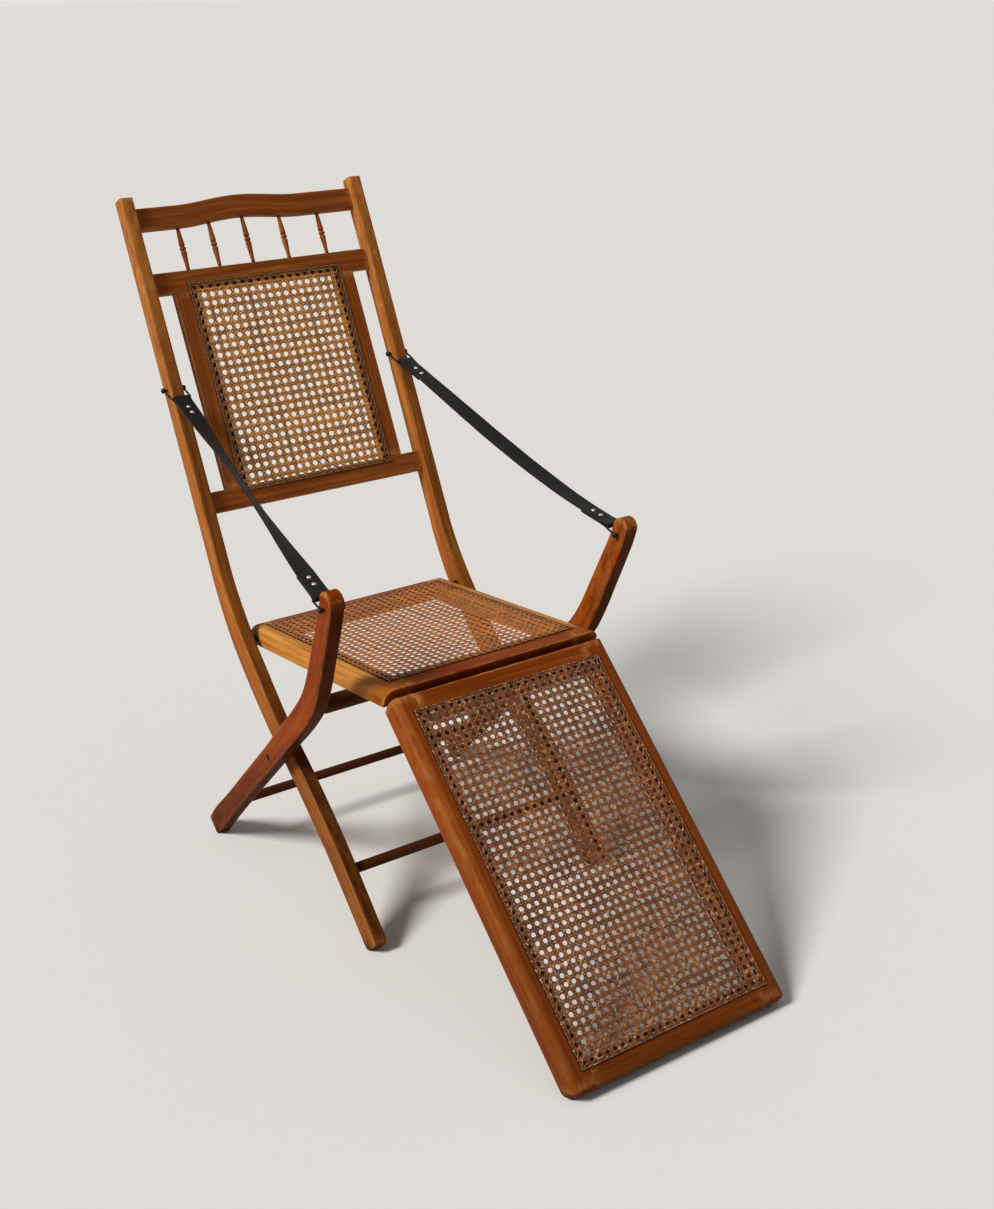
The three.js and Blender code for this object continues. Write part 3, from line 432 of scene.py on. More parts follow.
def bar(section, place, reach, steps, end_rounds):
    """A section carried between two eased ends, each a length or a function of across and deep."""
    across, deep, edge = section.T
    middle_across = (across.max() + across.min()) / 2
    middle_deep = (deep.max() + deep.min()) / 2
    half_across = (across.max() - across.min()) / 2
    half_deep = (deep.max() - deep.min()) / 2
    ends = [end if callable(end) else (lambda a, _, end=end: np.full_like(a, end)) for end in reach]

    def cap(limit, sign, end_round):
        rings = [(share, end_round) for share in FACE_SHARES]
        rings += [(1.0, share * end_round) for share in EDGE_SHARES]
        rows = []
        for scale, inset in rings:
            a = middle_across + (across - middle_across) * scale * (1 - inset / half_across)
            d = middle_deep + (deep - middle_deep) * scale * (1 - inset / half_deep)
            drawn = end_round - math.sqrt(max(end_round**2 - (end_round - inset) ** 2, 0))
            keen = edge * 0 + (1.0 if scale == 1.0 and inset < end_round else 0.0)
            rows.append((a, d, limit(a, d) + sign * drawn, keen))
        return rows

    low_rows = cap(ends[0], 1, end_rounds[0])
    high_rows = cap(ends[1], -1, end_rounds[1])[::-1]
    low_edge, high_edge = low_rows[-1][2], high_rows[0][2]
    body = []
    for share in np.linspace(0, 1, steps + 1)[1:-1]:
        body.append((across, deep, low_edge + (high_edge - low_edge) * share, edge))
    rows = low_rows + body + high_rows
    a, d, along, edges = (np.stack(column) for column in zip(*rows))
    points = place(along, a, d)
    return points, grid_faces(len(rows), len(across)), {"across": a, "deep": d, "along": along, "edge": edges}


def turned(rows, place, sides=28):
    """A turned piece from rows of a radius and a place along it."""
    rows = np.array(rows, float)
    angle = np.arange(sides) * 2 * math.pi / sides
    radius, along = rows[:, :1], rows[:, 1:]
    a, d = radius * np.cos(angle), radius * np.sin(angle)
    stretch = along + 0 * a
    points = place(stretch, a, d)
    return points, grid_faces(len(rows), sides), {"across": a, "deep": d, "along": stretch, "edge": 0 * a}


def smooth_profile(rows, steps):
    """Rows of a radius and a place with each step between them eased."""
    out = []
    for (r0, p0), (r1, p1) in zip(rows, rows[1:]):
        for share in np.linspace(0, 1, steps, endpoint=False):
            ease = share * share * (3 - 2 * share)
            out.append((r0 + (r1 - r0) * ease, p0 + (p1 - p0) * share))
    return out + [rows[-1]]


def smooth_line(rows, count):
    """Points evenly spaced along a centripetal Catmull-Rom curve through the rows, and its length."""
    rows = np.array(rows, float)
    padded = np.vstack([2 * rows[0] - rows[1], rows, 2 * rows[-1] - rows[-2]])
    share = np.linspace(0, 1, 24, endpoint=False)[:, None]
    stretches = []
    for p0, p1, p2, p3 in zip(padded, padded[1:], padded[2:], padded[3:]):
        d0, d1, d2 = (math.sqrt(np.linalg.norm(b - a)) for a, b in ((p0, p1), (p1, p2), (p2, p3)))
        t1 = ((p1 - p0) / d0 - (p2 - p0) / (d0 + d1) + (p2 - p1) / d1) * d1
        t2 = ((p2 - p1) / d1 - (p3 - p1) / (d1 + d2) + (p3 - p2) / d2) * d1
        cubic = (2 * p1 - 2 * p2 + t1 + t2) * share**3 + (3 * p2 - 3 * p1 - 2 * t1 - t2) * share**2
        stretches.append(p1 + t1 * share + cubic)
    curve = np.vstack(stretches + [rows[-1:]])
    travelled = np.concatenate([[0], np.cumsum(np.linalg.norm(np.diff(curve, axis=0), axis=1))])
    even = np.linspace(0, travelled[-1], count)
    return np.stack([np.interp(even, travelled, column) for column in curve.T], axis=1), travelled[-1]


def wood_marks(facts, points, seed, low=None):
    """The marks that the wood materials read: grain coordinates in metres, edges, and dirt with painted
    shade. Each seed gives a piece another part of the wood, and low is the share of painted shade on what
    stands low."""
    grain = np.stack([facts["along"], facts["across"], facts["deep"]], -1).reshape(-1, 3) * MM
    dirt_and_shade = np.zeros(len(grain)) if low is None else low_dirt_and_shade(np.asarray(points).reshape(-1, 3)[:, 2], low)
    return {"grain": grain + seed * np.array(WOOD_APART), "edge": facts["edge"].ravel(), "dirt_and_shade": dirt_and_shade}


# How far apart in the wood two pieces with neighbouring seeds are cut, along, across and through the grain
WOOD_APART = (0.731, 0.217, 0.391)
# A foot is dark with dirt up to FOOT_DARK times FOOT_FADE and fades over FOOT_FADE above it. Legs and leg
# rest get painted shade below LOW_TOP, fading over LOW_FADE
FOOT_DARK = 0.15
FOOT_FADE = 38.0
LOW_TOP = 300.0
LOW_FADE = 200.0
LOW_SHADE = 0.4
# The tones of a leg: its share of painted shade low down, how dark the painted shade on its front face is,
# and how pale all its faces are, the last two at each of LEG_HEIGHTS. The stiles pale towards the top; on the
# right arm post the paling is painted light.
LEG_HEIGHTS = (230, 420, 700, 900)
STILE_SHADE_AND_PALING = (LOW_SHADE, (0.85, 0.35, 0.45, 0.05), (0.0, 0.0, 0.2, 0.8))
RIGHT_ARM_SHADE_AND_LIGHT = (0.62, (0.85, 0.8, 0.8, 0.8), (0.0, 0.2, 0.5, 0.5))
LEFT_ARM_SHADE = (0.62, (0.85, 0.8, 0.8, 0.8), (0.0, 0.0, 0.0, 0.0))
# The front ends of the seat's side rails are stained as red as the front rail, for this length
SEAT_STAIN_LENGTH = 62.0
STAIN_FADE = 26.0


def low_dirt_and_shade(heights, share):
    """Feet darken with dirt over their last few centimetres, and legs and leg rest get a little painted shade
    over their lower half.
    """
    foot = np.clip(1 + FOOT_DARK - heights / FOOT_FADE, 0, 1) ** 1.5
    return np.maximum(foot, share * np.clip((LOW_TOP - heights) / LOW_FADE, 0, 1))


# Materials


def link_inputs(tree, node, links):
    """Links sockets into a node's inputs."""
    for key, socket in dict(links).items():
        tree.links.new(socket, node.inputs[key])


def add_node(tree, kind, settings=(), links=(), output=0):
    """Adds a node, sets its properties and input values, links its inputs and gives one of its outputs."""
    node = tree.nodes.new("ShaderNode" + kind)
    for key, value in dict(settings).items():
        if isinstance(key, str) and hasattr(node, key):
            setattr(node, key, value)
        else:
            node.inputs[key].default_value = value
    link_inputs(tree, node, links)
    return node.outputs[output]


def new_material(name, settings, marks=()):
    """A material with one Principled surface: it, its tree and surface node, and the marks of a mesh that it
    reads, the grain as a vector and any other as a value."""
    material = bpy.data.materials.new(name)
    material.use_nodes = True
    tree = material.node_tree
    surface = tree.nodes["Principled BSDF"]
    for key, value in settings.items():
        surface.inputs[key].default_value = value
    read = []
    for mark in marks:
        output = "Vector" if mark == "grain" else "Fac"
        read.append(add_node(tree, "Attribute", {"attribute_name": mark}, (), output))
    return material, tree, surface, read


def set_stops(color_ramp, stops):
    """Gives a colour ramp its rows of a place and an RGBA colour."""
    while len(color_ramp.elements) < len(stops):
        color_ramp.elements.new(0.5)
    for element, (place, colour) in zip(color_ramp.elements, stops):
        element.position = place
        element.color = colour


def stretched_noise(tree, grain, size_mm, detail, roughness, distortion=0.0):
    """Noise whose lumps measure size_mm along, across and through the grain."""
    scale = [1 / (size * MM) for size in size_mm]
    mapping = add_node(tree, "Mapping", {"Scale": scale}, {"Vector": grain})
    settings = {"Scale": 1.0, "Detail": detail, "Roughness": roughness, "Distortion": distortion}
    return add_node(tree, "TexNoise", settings, {"Vector": mapping})


def laid_over(tree, under, over, pattern, low, high, most, least=0.0, mark=None):
    """A colour laid over another: least where the pattern is low, most where it is high, and only as far as a
    mark tells, where one is given."""
    amount = add_node(tree, "MapRange", {1: low, 2: high, 3: least, 4: most}, {0: pattern})
    if mark is not None:
        amount = add_node(tree, "Math", {"operation": "MULTIPLY"}, {0: mark, 1: amount})
    settings, links = {"data_type": "RGBA", 7: over}, {0: amount}
    if isinstance(under, tuple):
        settings[6] = under
    else:
        links[6] = under
    return add_node(tree, "Mix", settings, links, 2)


def varnished_wood(name, stops, worn, dirt_and_shade_colour, stain, gloss):
    """Old beech, stained and varnished by hand. Rings 7 to 9 mm apart run as long streaks, short pores fleck
    it, the varnish has worn pale on the edges, and it darkens with dirt and painted shade where its
    dirt_and_shade mark tells."""
    coat = {"Coat Weight": 0.03, "Coat Roughness": 0.2, "Coat IOR": 1.5}
    settings = {"IOR": 1.5, "Specular IOR Level": 0.02, **coat}
    material, tree, surface, marks = new_material(name, settings, ("grain", "edge", "dirt_and_shade", "stain"))
    grain, edge, dirt_and_shade, stained = marks
    streaks = stretched_noise(tree, grain, (240, 7, 9), 5.0, 0.6, 0.6)
    blotches = stretched_noise(tree, grain, (90, 45, 45), 3.0, 0.5)
    fibres = stretched_noise(tree, grain, (26, 0.9, 0.9), 3.0, 0.7)
    pores = stretched_noise(tree, grain, (7, 0.55, 0.55), 1.0, 0.4)
    shade_and_paling = stretched_noise(tree, grain, (30, 10, 10), 5.0, 0.65)
    colour = add_node(tree, "ValToRGB", (), {"Fac": streaks})
    set_stops(colour.node.color_ramp, stops)
    colour = laid_over(tree, colour, stops[0][1], blotches, 0.35, 0.7, 0.3)
    colour = laid_over(tree, colour, stain, stained, 0.0, 1.0, 0.85)
    colour = laid_over(tree, colour, dirt_and_shade_colour, fibres, 0.4, 0.75, 0.3)
    colour = laid_over(tree, colour, dirt_and_shade_colour, pores, 0.66, 0.74, 0.5)
    colour = laid_over(tree, colour, worn, shade_and_paling, 0.42, 0.62, 0.62, 0.08, edge)
    colour = laid_over(tree, colour, dirt_and_shade_colour, shade_and_paling, 0.3, 0.6, 1.0, 0.65, dirt_and_shade)
    rough = add_node(tree, "MapRange", {1: 0.3, 2: 0.7, 3: gloss - 0.08, 4: gloss + 0.2}, {0: shade_and_paling})
    relief = add_node(tree, "Bump", {"Strength": 0.5, "Distance": 0.16 * MM}, {"Height": fibres})
    link_inputs(tree, surface, {"Base Color": colour, "Roughness": rough, "Normal": relief})
    return material


def split_cane(name, stops, stain, pale, spotted):
    """Split rattan: a half-round strip with its glossy skin outward, each strip its own shade, with fine
    lines 0.4 mm apart along it and dull grey wear."""
    settings = {"IOR": 1.5, "Specular IOR Level": 0.3, "Coat Weight": 0.06, "Coat Roughness": 0.3}
    material, tree, surface, marks = new_material(name, settings, ("grain", "shade", "stain"))
    grain, shade, stained = marks
    place = add_node(tree, "TexCoord", (), (), "Object")
    lines = stretched_noise(tree, grain, (22, 0.4, 5), 2.0, 0.5)
    lengths = stretched_noise(tree, grain, (30, 8, 8), 3.0, 0.7)
    patches = stretched_noise(tree, place, [58.8] * 3, 5.0, 0.5)
    mottle = stretched_noise(tree, place, [10.53] * 3, 3.0, 0.5)
    specks = stretched_noise(tree, place, [4.76] * 3, 2.0, 0.5)
    colour = add_node(tree, "ValToRGB", (), {"Fac": shade})
    set_stops(colour.node.color_ramp, stops)
    colour = laid_over(tree, colour, stops[-1][1], lengths, 0.4, 0.66, 0.6)
    # The stain mark darkens strips on the frame: stain with painted shade
    colour = laid_over(tree, colour, stain, stained, 0.0, 1.0, 1.0)
    colour = laid_over(tree, colour, stain, lines, 0.45, 0.7, 0.35)
    colour = laid_over(tree, colour, stain, patches, 0.42, 0.66, 0.55 * spotted)
    colour = laid_over(tree, colour, stain, mottle, 0.48, 0.66, 0.6 * spotted)
    # Pale flecks: partly worn skin, partly painted highlights
    colour = laid_over(tree, colour, pale, specks, 0.58, 0.68, 0.75 * spotted)
    rough = add_node(tree, "MapRange", {1: 0.3, 2: 0.7, 3: 0.38, 4: 0.62}, {0: lengths})
    relief = add_node(tree, "Bump", {"Strength": 0.5, "Distance": 0.08 * MM}, {"Height": lines})
    link_inputs(tree, surface, {"Base Color": colour, "Roughness": rough, "Normal": relief})
    return material


def black_leather(name, face, worn):
    """Bridle leather, dyed black: a face pebbled every 1.2 mm, browned and rough at the cut edges."""
    settings = {"IOR": 1.48, "Specular IOR Level": 0.15}
    material, tree, surface, (grain, edge) = new_material(name, settings, ("grain", "edge"))
    pebble_scale = [1 / (1.205 * MM)] * 3
    pebble_map = add_node(tree, "Mapping", {"Scale": pebble_scale}, {"Vector": grain})
    pebbles = add_node(tree, "TexVoronoi", {"Scale": 1.0}, {"Vector": pebble_map}, "Distance")
    creases = stretched_noise(tree, grain, (5, 16, 16), 3.0, 0.6)
    scuffs = stretched_noise(tree, grain, (14, 9, 9), 5.0, 0.7)
    colour = laid_over(tree, face, worn, scuffs, 0.5, 0.75, 0.5)
    colour = laid_over(tree, colour, worn, scuffs, 0.3, 0.6, 0.8, 0.25, edge)
    rough = add_node(tree, "MapRange", {1: 0.35, 2: 0.7, 3: 0.36, 4: 0.66}, {0: scuffs})
    height = add_node(tree, "Math", {"operation": "ADD"}, {0: pebbles, 1: creases})
    relief = add_node(tree, "Bump", {"Strength": 0.6, "Distance": 0.22 * MM}, {"Height": height})
    link_inputs(tree, surface, {"Base Color": colour, "Roughness": rough, "Normal": relief})
    return material


def worked_metal(name, clean, tarnish, roughness, amount):
    """Turned or drawn metal with tarnish in patches a few millimetres wide and fine wear marks."""
    material, tree, surface, _ = new_material(name, {"Metallic": 1.0})
    place = add_node(tree, "TexCoord", (), (), "Object")
    patches = stretched_noise(tree, place, [3.846] * 3, 5.0, 0.5)
    marks = stretched_noise(tree, place, [0.714] * 3, 2.0, 0.5)
    colour = laid_over(tree, clean, tarnish, patches, 0.4, 0.66, amount)
    rough = add_node(tree, "MapRange", {1: 0.35, 2: 0.7, 3: roughness, 4: roughness + 0.3}, {0: patches})
    relief = add_node(tree, "Bump", {"Strength": 0.4, "Distance": 0.03 * MM}, {"Height": marks})
    link_inputs(tree, surface, {"Base Color": colour, "Roughness": rough, "Normal": relief})
    return material


# The finishes are made once and shared
finishes = {}


def finish(name):
    """The named finish, made the first time that a piece asks for it."""
    if name not in finishes:
        finishes[name] = FINISH_MAKERS[name]()
    return finishes[name]


def chosen(key):
    """A colour from the settings as RGBA."""
    return (*getattr(bpy.context.scene.deck_chair_colours, key), 1.0)


def tones(colour, places, darker, lighter):
    """Rows of a place and a colour: a darker shade of the colour, the colour itself and a lighter shade."""
    shades = [[min(c * f, 1) for c, f in zip(colour, factors)] for factors in (darker, (1, 1, 1), lighter)]
    return [(place, (*shade, 1.0)) for place, shade in zip(places, shades)]


def make_wood(name, key, gloss=0.38):
    """Wood turns redder as it darkens and yellower as it pales."""
    stops = tones(chosen(key), (0.3, 0.5, 0.72), (0.64, 0.56, 0.56), (1.45, 1.8, 1.85))
    return varnished_wood(name, stops, chosen("bare_wood"), chosen("dirt_and_shade_colour"), chosen("red_wood"), gloss)


def make_cane(name, key, spotted):
    """Strips of cane differ more from one another than wood does along a board."""
    stops = tones(chosen(key), (0.0, 0.5, 1.0), (0.5, 0.4, 0.36), (1.95, 2.1, 2.2))
    return split_cane(name, stops, chosen("cane_stain"), chosen("cane_fleck"), spotted)


def make_metal(name, key, roughness, tarnished):
    """Tarnish is a dark and slightly browner shade of the metal."""
    clean = chosen(key)
    tarnish = (clean[0] * 0.3, clean[1] * 0.24, clean[2] * 0.2, 1.0)
    return worked_metal(name, clean, tarnish, roughness, tarnished)


FINISH_MAKERS = {
    "golden beech": lambda: make_wood("Varnished beech, golden", "golden_wood"),
    "amber beech": lambda: make_wood("Varnished beech, amber", "amber_wood"),
    "red beech": lambda: make_wood("Varnished beech, red-brown", "red_wood"),
    "brown beech": lambda: make_wood("Varnished beech, brown", "brown_wood"),
    "russet beech": lambda: make_wood("Varnished beech, russet", "russet_wood"),
    "dark beech": lambda: make_wood("Varnished beech, dark", "dark_wood"),
    # Under the cane's edge: wood dark with dirt and painted shade, and bores painted dark for the shade
    # inside them
    "dirty shaded beech": lambda: make_wood("Beech under the cane, dirt and painted shade", "dirty_shaded_wood", 0.7),
    "bore": lambda: make_wood("Bore, painted shade of its depth", "dirt_and_shade_colour", 0.8),
    "golden cane": lambda: make_cane("Split cane, golden", "golden_cane", 0.35),
    "tan cane": lambda: make_cane("Split cane, tan", "tan_cane", 0.35),
    "grey cane": lambda: make_cane("Split cane, weathered", "grey_cane", 1.0),
    "leather": lambda: black_leather("Black bridle leather", chosen("leather"), chosen("worn_leather")),
    "iron": lambda: make_metal("Blackened iron", "iron", 0.38, 0.8),
    "brass": lambda: make_metal("Tarnished brass", "brass", 0.36, 0.95),
    "steel": lambda: make_metal("Nickelled steel", "nickel", 0.16, 0.4),
}


# Wooden pieces


def wooden(name, points, faces, body, kind, marks, sharp=True):
    """The wooden piece that takes the place of the solid of its name."""
    new_piece(f"{name}_wood", points, faces, body, finish(kind), [name], marks, sharp)


def leg_place(line, middle_at, mirror):
    """Carries a straight bar along a bent leg's middle line, and swells its depth to the line's own."""
    rows, length = smooth_line(line, 400)
    along_rows = np.linspace(0, length, len(rows))
    slope = np.gradient(rows[:, :2], axis=0)
    slope /= np.linalg.norm(slope, axis=1)[:, None]
    reference = line[0][2] / 2

    def place(along, across, deep):
        y, z, depth = (np.interp(along, along_rows, column) for column in rows.T)
        down_y, down_z = (np.interp(along, along_rows, column) for column in slope.T)
        swell = np.clip(deep / (reference - ARRIS), -1, 1) * (depth / 2 - reference)
        offset = deep + swell
        x = mirror * (middle_at(z) + across)
        up = np.maximum(z - offset * down_y, 0)
        return np.stack([x, y + offset * down_z, up], -1)

    return place, length, reference


def rounded_end(end, radius, half, sign):
    """An end rounded in depth: how far along it lies at each depth."""

    def at(_, deep):
        past = np.maximum(np.abs(deep) - (half - radius), 0)
        return end + sign * (radius - np.sqrt(np.maximum(radius**2 - past**2, 0)))

    return at


def bent_leg(name, line, thickness, middle_at, rounds, mirror, body, kind, seed, shade_and_paling, top_ease):
    """A leg sawn from a board along a bent line, with painted shade on its front face and paled as its
    shade_and_paling tells.
    """
    place, length, half = leg_place(line, middle_at, mirror)
    section = rounded(rectangle((-thickness / 2, thickness / 2), (-half, half)), [ARRIS] * 4)
    reach = (rounded_end(0, rounds[0], half, 1), rounded_end(length, rounds[1], half, -1))
    points, faces, facts = bar(section, place, reach, LEG_STEPS, (top_ease, LEG_FOOT_EASE))
    low, front_shade, pale = shade_and_paling
    marks = wood_marks(facts, points, seed, low)
    heights = points.reshape(-1, 3)[:, 2]
    # The front face gets painted shade, as dark as front_shade tells at each height
    shaded_front = np.clip(1 - (half - facts["deep"].ravel()) / ARRIS, 0, 1)
    marks["dirt_and_shade"] = np.maximum(marks["dirt_and_shade"], shaded_front * np.interp(heights, LEG_HEIGHTS, front_shade))
    # Paling through the worn-edge colour: towards the top of a stile, and painted light on the right arm post
    marks["edge"] = np.maximum(marks["edge"], np.interp(heights, LEG_HEIGHTS, pale))
    wooden(name, points, faces, body, kind, marks)


def stile_middle_at(z):
    """The stiles stand upright."""
    return STILE_MIDDLE + 0 * z


def arm_middle_at(z):
    """The arm posts lean out a little from just over the pivot up."""
    rise = z - ARM_LEAN_FROM
    return ARM_MIDDLE + ARM_LEAN * (np.hypot(rise, ARM_LEAN_EASE) + rise) / 2


def arm_inside_at(z):
    """The inner face of an arm post at a height."""
    return float(arm_middle_at(z)) - ARM_THICKNESS / 2


def board(name, drawing, corners, radii, half, body, kind, seed, bend=None, steps=BOARD_STEPS, low=None):
    """A rail across the chair: its section is drawn in Y and Z of a drawing and carried along X."""

    def place(along, across, deep):
        return drawing(along, across + (bend(along) if bend else 0), deep)

    points, faces, facts = bar(rounded(corners, radii), place, (-half, half), steps, [BOARD_EASE] * 2)
    wooden(name, points, faces, body, kind, wood_marks(facts, points, seed, low))


def hump_at(x):
    """How far the crest rail rises at a place across the chair."""
    share = np.minimum(1, np.abs(x - CREST_HUMP_MIDDLE) / CREST_HUMP_HALF)
    return CREST_RISE * (1 + np.cos(math.pi * share)) / 2


def across_place(place_yz, middle=0.0, mirror=1):
    """Carries a turned piece along X at a place in the side view."""

    def place(along, across, deep):
        return np.stack([middle + mirror * along, place_yz[0] + across, place_yz[1] + deep], -1)

    return place


def round_rail(name, place_yz, radius, reach, body, seed):
    """A stretcher or rung, which tapers a little to each end."""
    end = reach - GAP
    tip = ROUND_END_SHARE * radius
    rows = [(0, -end), (tip, -end), (radius, ROUND_TAPER - end)]
    rows += [(radius, step) for step in np.linspace(ROUND_PLAIN_FROM - end, end - ROUND_PLAIN_FROM, 24)]
    rows += [(radius, end - ROUND_TAPER), (tip, end), (0, end)]
    points, faces, facts = turned(smooth_profile(rows, 3), across_place(place_yz))
    marks = wood_marks(facts, points, seed)
    wooden(name, points, faces, body, "dark beech", marks, False)


def baluster_rows(foot, head):
    """A slim baluster that swells towards its middle, where a bead stands between two grooves."""
    lower, upper = LOWER_TAPER, UPPER_TAPER
    grooves = []
    for share in GROOVE_SHARES:
        sides = (BALUSTER_NECK, GROOVE_RADIUS, BALUSTER_NECK)
        grooves.append([(radius, share + way * GROOVE_HALF) for radius, way in zip(sides, (-1, 0, 1))])
    rows = [(0.0, 0.0), (BALUSTER_TIP, 0.0), (BALUSTER_THIN, BALUSTER_COLLAR)]
    for share in np.linspace(*lower, 9):
        grown = ((share - lower[0]) / (lower[1] - lower[0])) ** 1.3
        rows.append((BALUSTER_THIN + BALUSTER_SWELL * grown, share))
    rows += grooves[0]
    for turn in np.linspace(-1, 1, 9):
        swell = BEAD_SWELL * math.sqrt(max(1 - turn * turn, 0))
        rows.append((BALUSTER_NECK + swell, BEAD_MIDDLE + BEAD_HALF * turn))
    rows += grooves[1]
    for share in np.linspace(*upper, 9):
        fallen = ((share - upper[0]) / (upper[1] - upper[0])) ** 0.8
        rows.append((BALUSTER_THIN + BALUSTER_SWELL * (1 - fallen), share))
    rows += [(BALUSTER_TIP, 1.0), (0.0, 1.0)]
    return [(radius, foot + share * (head - foot)) for radius, share in rows]


def panel_stile(side, mirror, seed):
    """An upright between the back's two straight rails."""

    def place(along, across, deep):
        return BACK(mirror * across, along, deep)

    section = rounded(rectangle(PANEL_STILE, (-BACK_THICKNESS, 0.0)), [RAIL_ARRIS] * 4)
    reach = (LOWER_RAIL[1] + GAP, MID_RAIL[0] - GAP)
    points, faces, facts = bar(section, place, reach, BOARD_STEPS, [PANEL_STILE_EASE] * 2)
    name = f"back_panel_stile_{side}"
    wooden(name, points, faces, "back_frame", "brown beech", wood_marks(facts, points, seed))


def baluster(name, x, seed):
    """A baluster between mid rail and crest rail, with dirt and painted shade in its grooves."""

    def place(along, across, deep):
        return BACK(x + across, along, deep - BACK_THICKNESS / 2)

    foot, head = MID_RAIL[1] + GAP, CREST_RAIL[0] + float(hump_at(x)) - GAP
    points, faces, facts = turned(baluster_rows(foot, head), place, 20)
    marks = wood_marks(facts, points, seed)
    share = (facts["along"].ravel() - foot) / (head - foot)
    # The grooves darken with dirt and painted shade
    for groove in GROOVE_SHARES:
        groove_dirt_and_shade = np.clip(2 - np.abs(share - groove) / GROOVE_DIRT_AND_SHADE_HALF, 0, 1)
        marks["dirt_and_shade"] = np.maximum(marks["dirt_and_shade"], groove_dirt_and_shade)
    wooden(name, points, faces, "back_frame", "brown beech", marks, sharp=False)


def side_rail_section(half, thickness):
    """A side rail's section, its outer upper edge rounded to a broad nose."""
    corners = rectangle((half - SIDE_RAIL_WIDTH, half), (-thickness, 0))
    return rounded(corners, [INNER_ROUND, UNDER_ROUND, NOSE_ROUND, INNER_ROUND], 9)


def drawn_back(distance, radius):
    """How far a rounded edge is drawn back at a distance inside it."""
    short = np.clip(radius - distance, 0, radius)
    return radius - np.sqrt(radius**2 - short**2)


def seat_side_end(_, deep):
    """The seat's side rails are cut back below at the front."""
    return SEAT_UNDERCUT * -deep / SEAT_THICKNESS


def rest_low_end(across, deep):
    """The foot of the leg rest: rounded on top and at the corners, and cut level with the ground below."""
    top = drawn_back(-deep, REST_LOWER_ROUND)
    corner = drawn_back(SEAT_HALF - np.abs(across), REST_CORNER_ROUND)
    foot = np.maximum(-deep - REST_FOOT_CUT, 0) / math.tan(REST_SLOPE)
    return np.maximum(top, foot) + corner


def rest_high_end(_, deep):
    """The upper end of the leg rest, cut back below towards the hinges."""
    return REST_LENGTH - REST_END_CUT * -deep / REST_THICKNESS - drawn_back(-deep, REST_END_ROUND)


def side_rail(name, drawing, thickness, reach, body, kind, seed, mirror, stained_to=0.0):
    """A side rail of the seat or the leg rest; its first stretch may be stained."""

    def place(along, across, deep):
        return drawing(mirror * across, along, deep)

    section = side_rail_section(SEAT_HALF, thickness)
    points, faces, facts = bar(section, place, reach, SIDE_RAIL_STEPS, [SIDE_RAIL_EASE] * 2)
    marks = wood_marks(facts, points, seed, LOW_SHADE)
    marks["stain"] = np.clip((stained_to - facts["along"].ravel()) / STAIN_FADE, 0, 1)
    wooden(name, points, faces, body, kind, marks)


# Cane


# A strip's section in half widths and half thicknesses: rounded above, with a ridge below that stays unseen
STRIP_SECTION = np.array([(-1, 0), (-0.55, 0.82), (0.55, 0.82), (1, 0), (0, -0.9)])


def strips(lines, widths, directions, shades, half_thickness):
    """Half-round strips along lines of points, all in one mesh. Directions are the unit ways across them."""
    around = len(STRIP_SECTION)
    points, faces, grain, shade = [], [], [], []
    start = 0
    for line, width, side, own in zip(lines, widths, directions, shades):
        line = np.asarray(line, float)
        travelled = np.concatenate([[0], np.cumsum(np.linalg.norm(np.diff(line, axis=0), axis=1))])
        line = np.vstack([line[:1], line, line[-1:]])
        travelled = np.concatenate([travelled[:1], travelled, travelled[-1:]])
        size = np.ones((len(line), 1))
        size[0] = size[-1] = 0
        across = STRIP_SECTION[:, 0] * width / 2
        ring = line[:, None, :] + across[None, :, None] * np.append(side, 0) * size[..., None]
        ring[:, :, 2] += STRIP_SECTION[None, :, 1] * half_thickness * size
        points.append(ring.reshape(-1, 3))
        faces.append(grid_faces(len(line), around) + start)
        own_grain = np.stack(np.broadcast_arrays(travelled[:, None], across[None, :], own * STRIPS_APART), -1)
        grain.append(own_grain.reshape(-1, 3) * MM)
        shade.append(np.full(len(line) * around, own))
        start += len(line) * around
    return np.vstack(points), np.vstack(faces), {"grain": np.vstack(grain), "shade": np.concatenate(shade)}


def dipped_ends(line):
    """A strip stays above the wood until it is just short of its hole, and only then dips in."""
    line = np.asarray(line, float)
    held = []
    for hole, inner in ((line[0], line[1]), (line[-1], line[-2])):
        way = inner - hole
        point = hole + way * DIP_FROM / np.linalg.norm(way[:2])
        point[2] = DIP_LEVEL
        held.append(point)
    return np.vstack([line[:1], held[:1], line[1:-1], held[1:], line[-1:]])


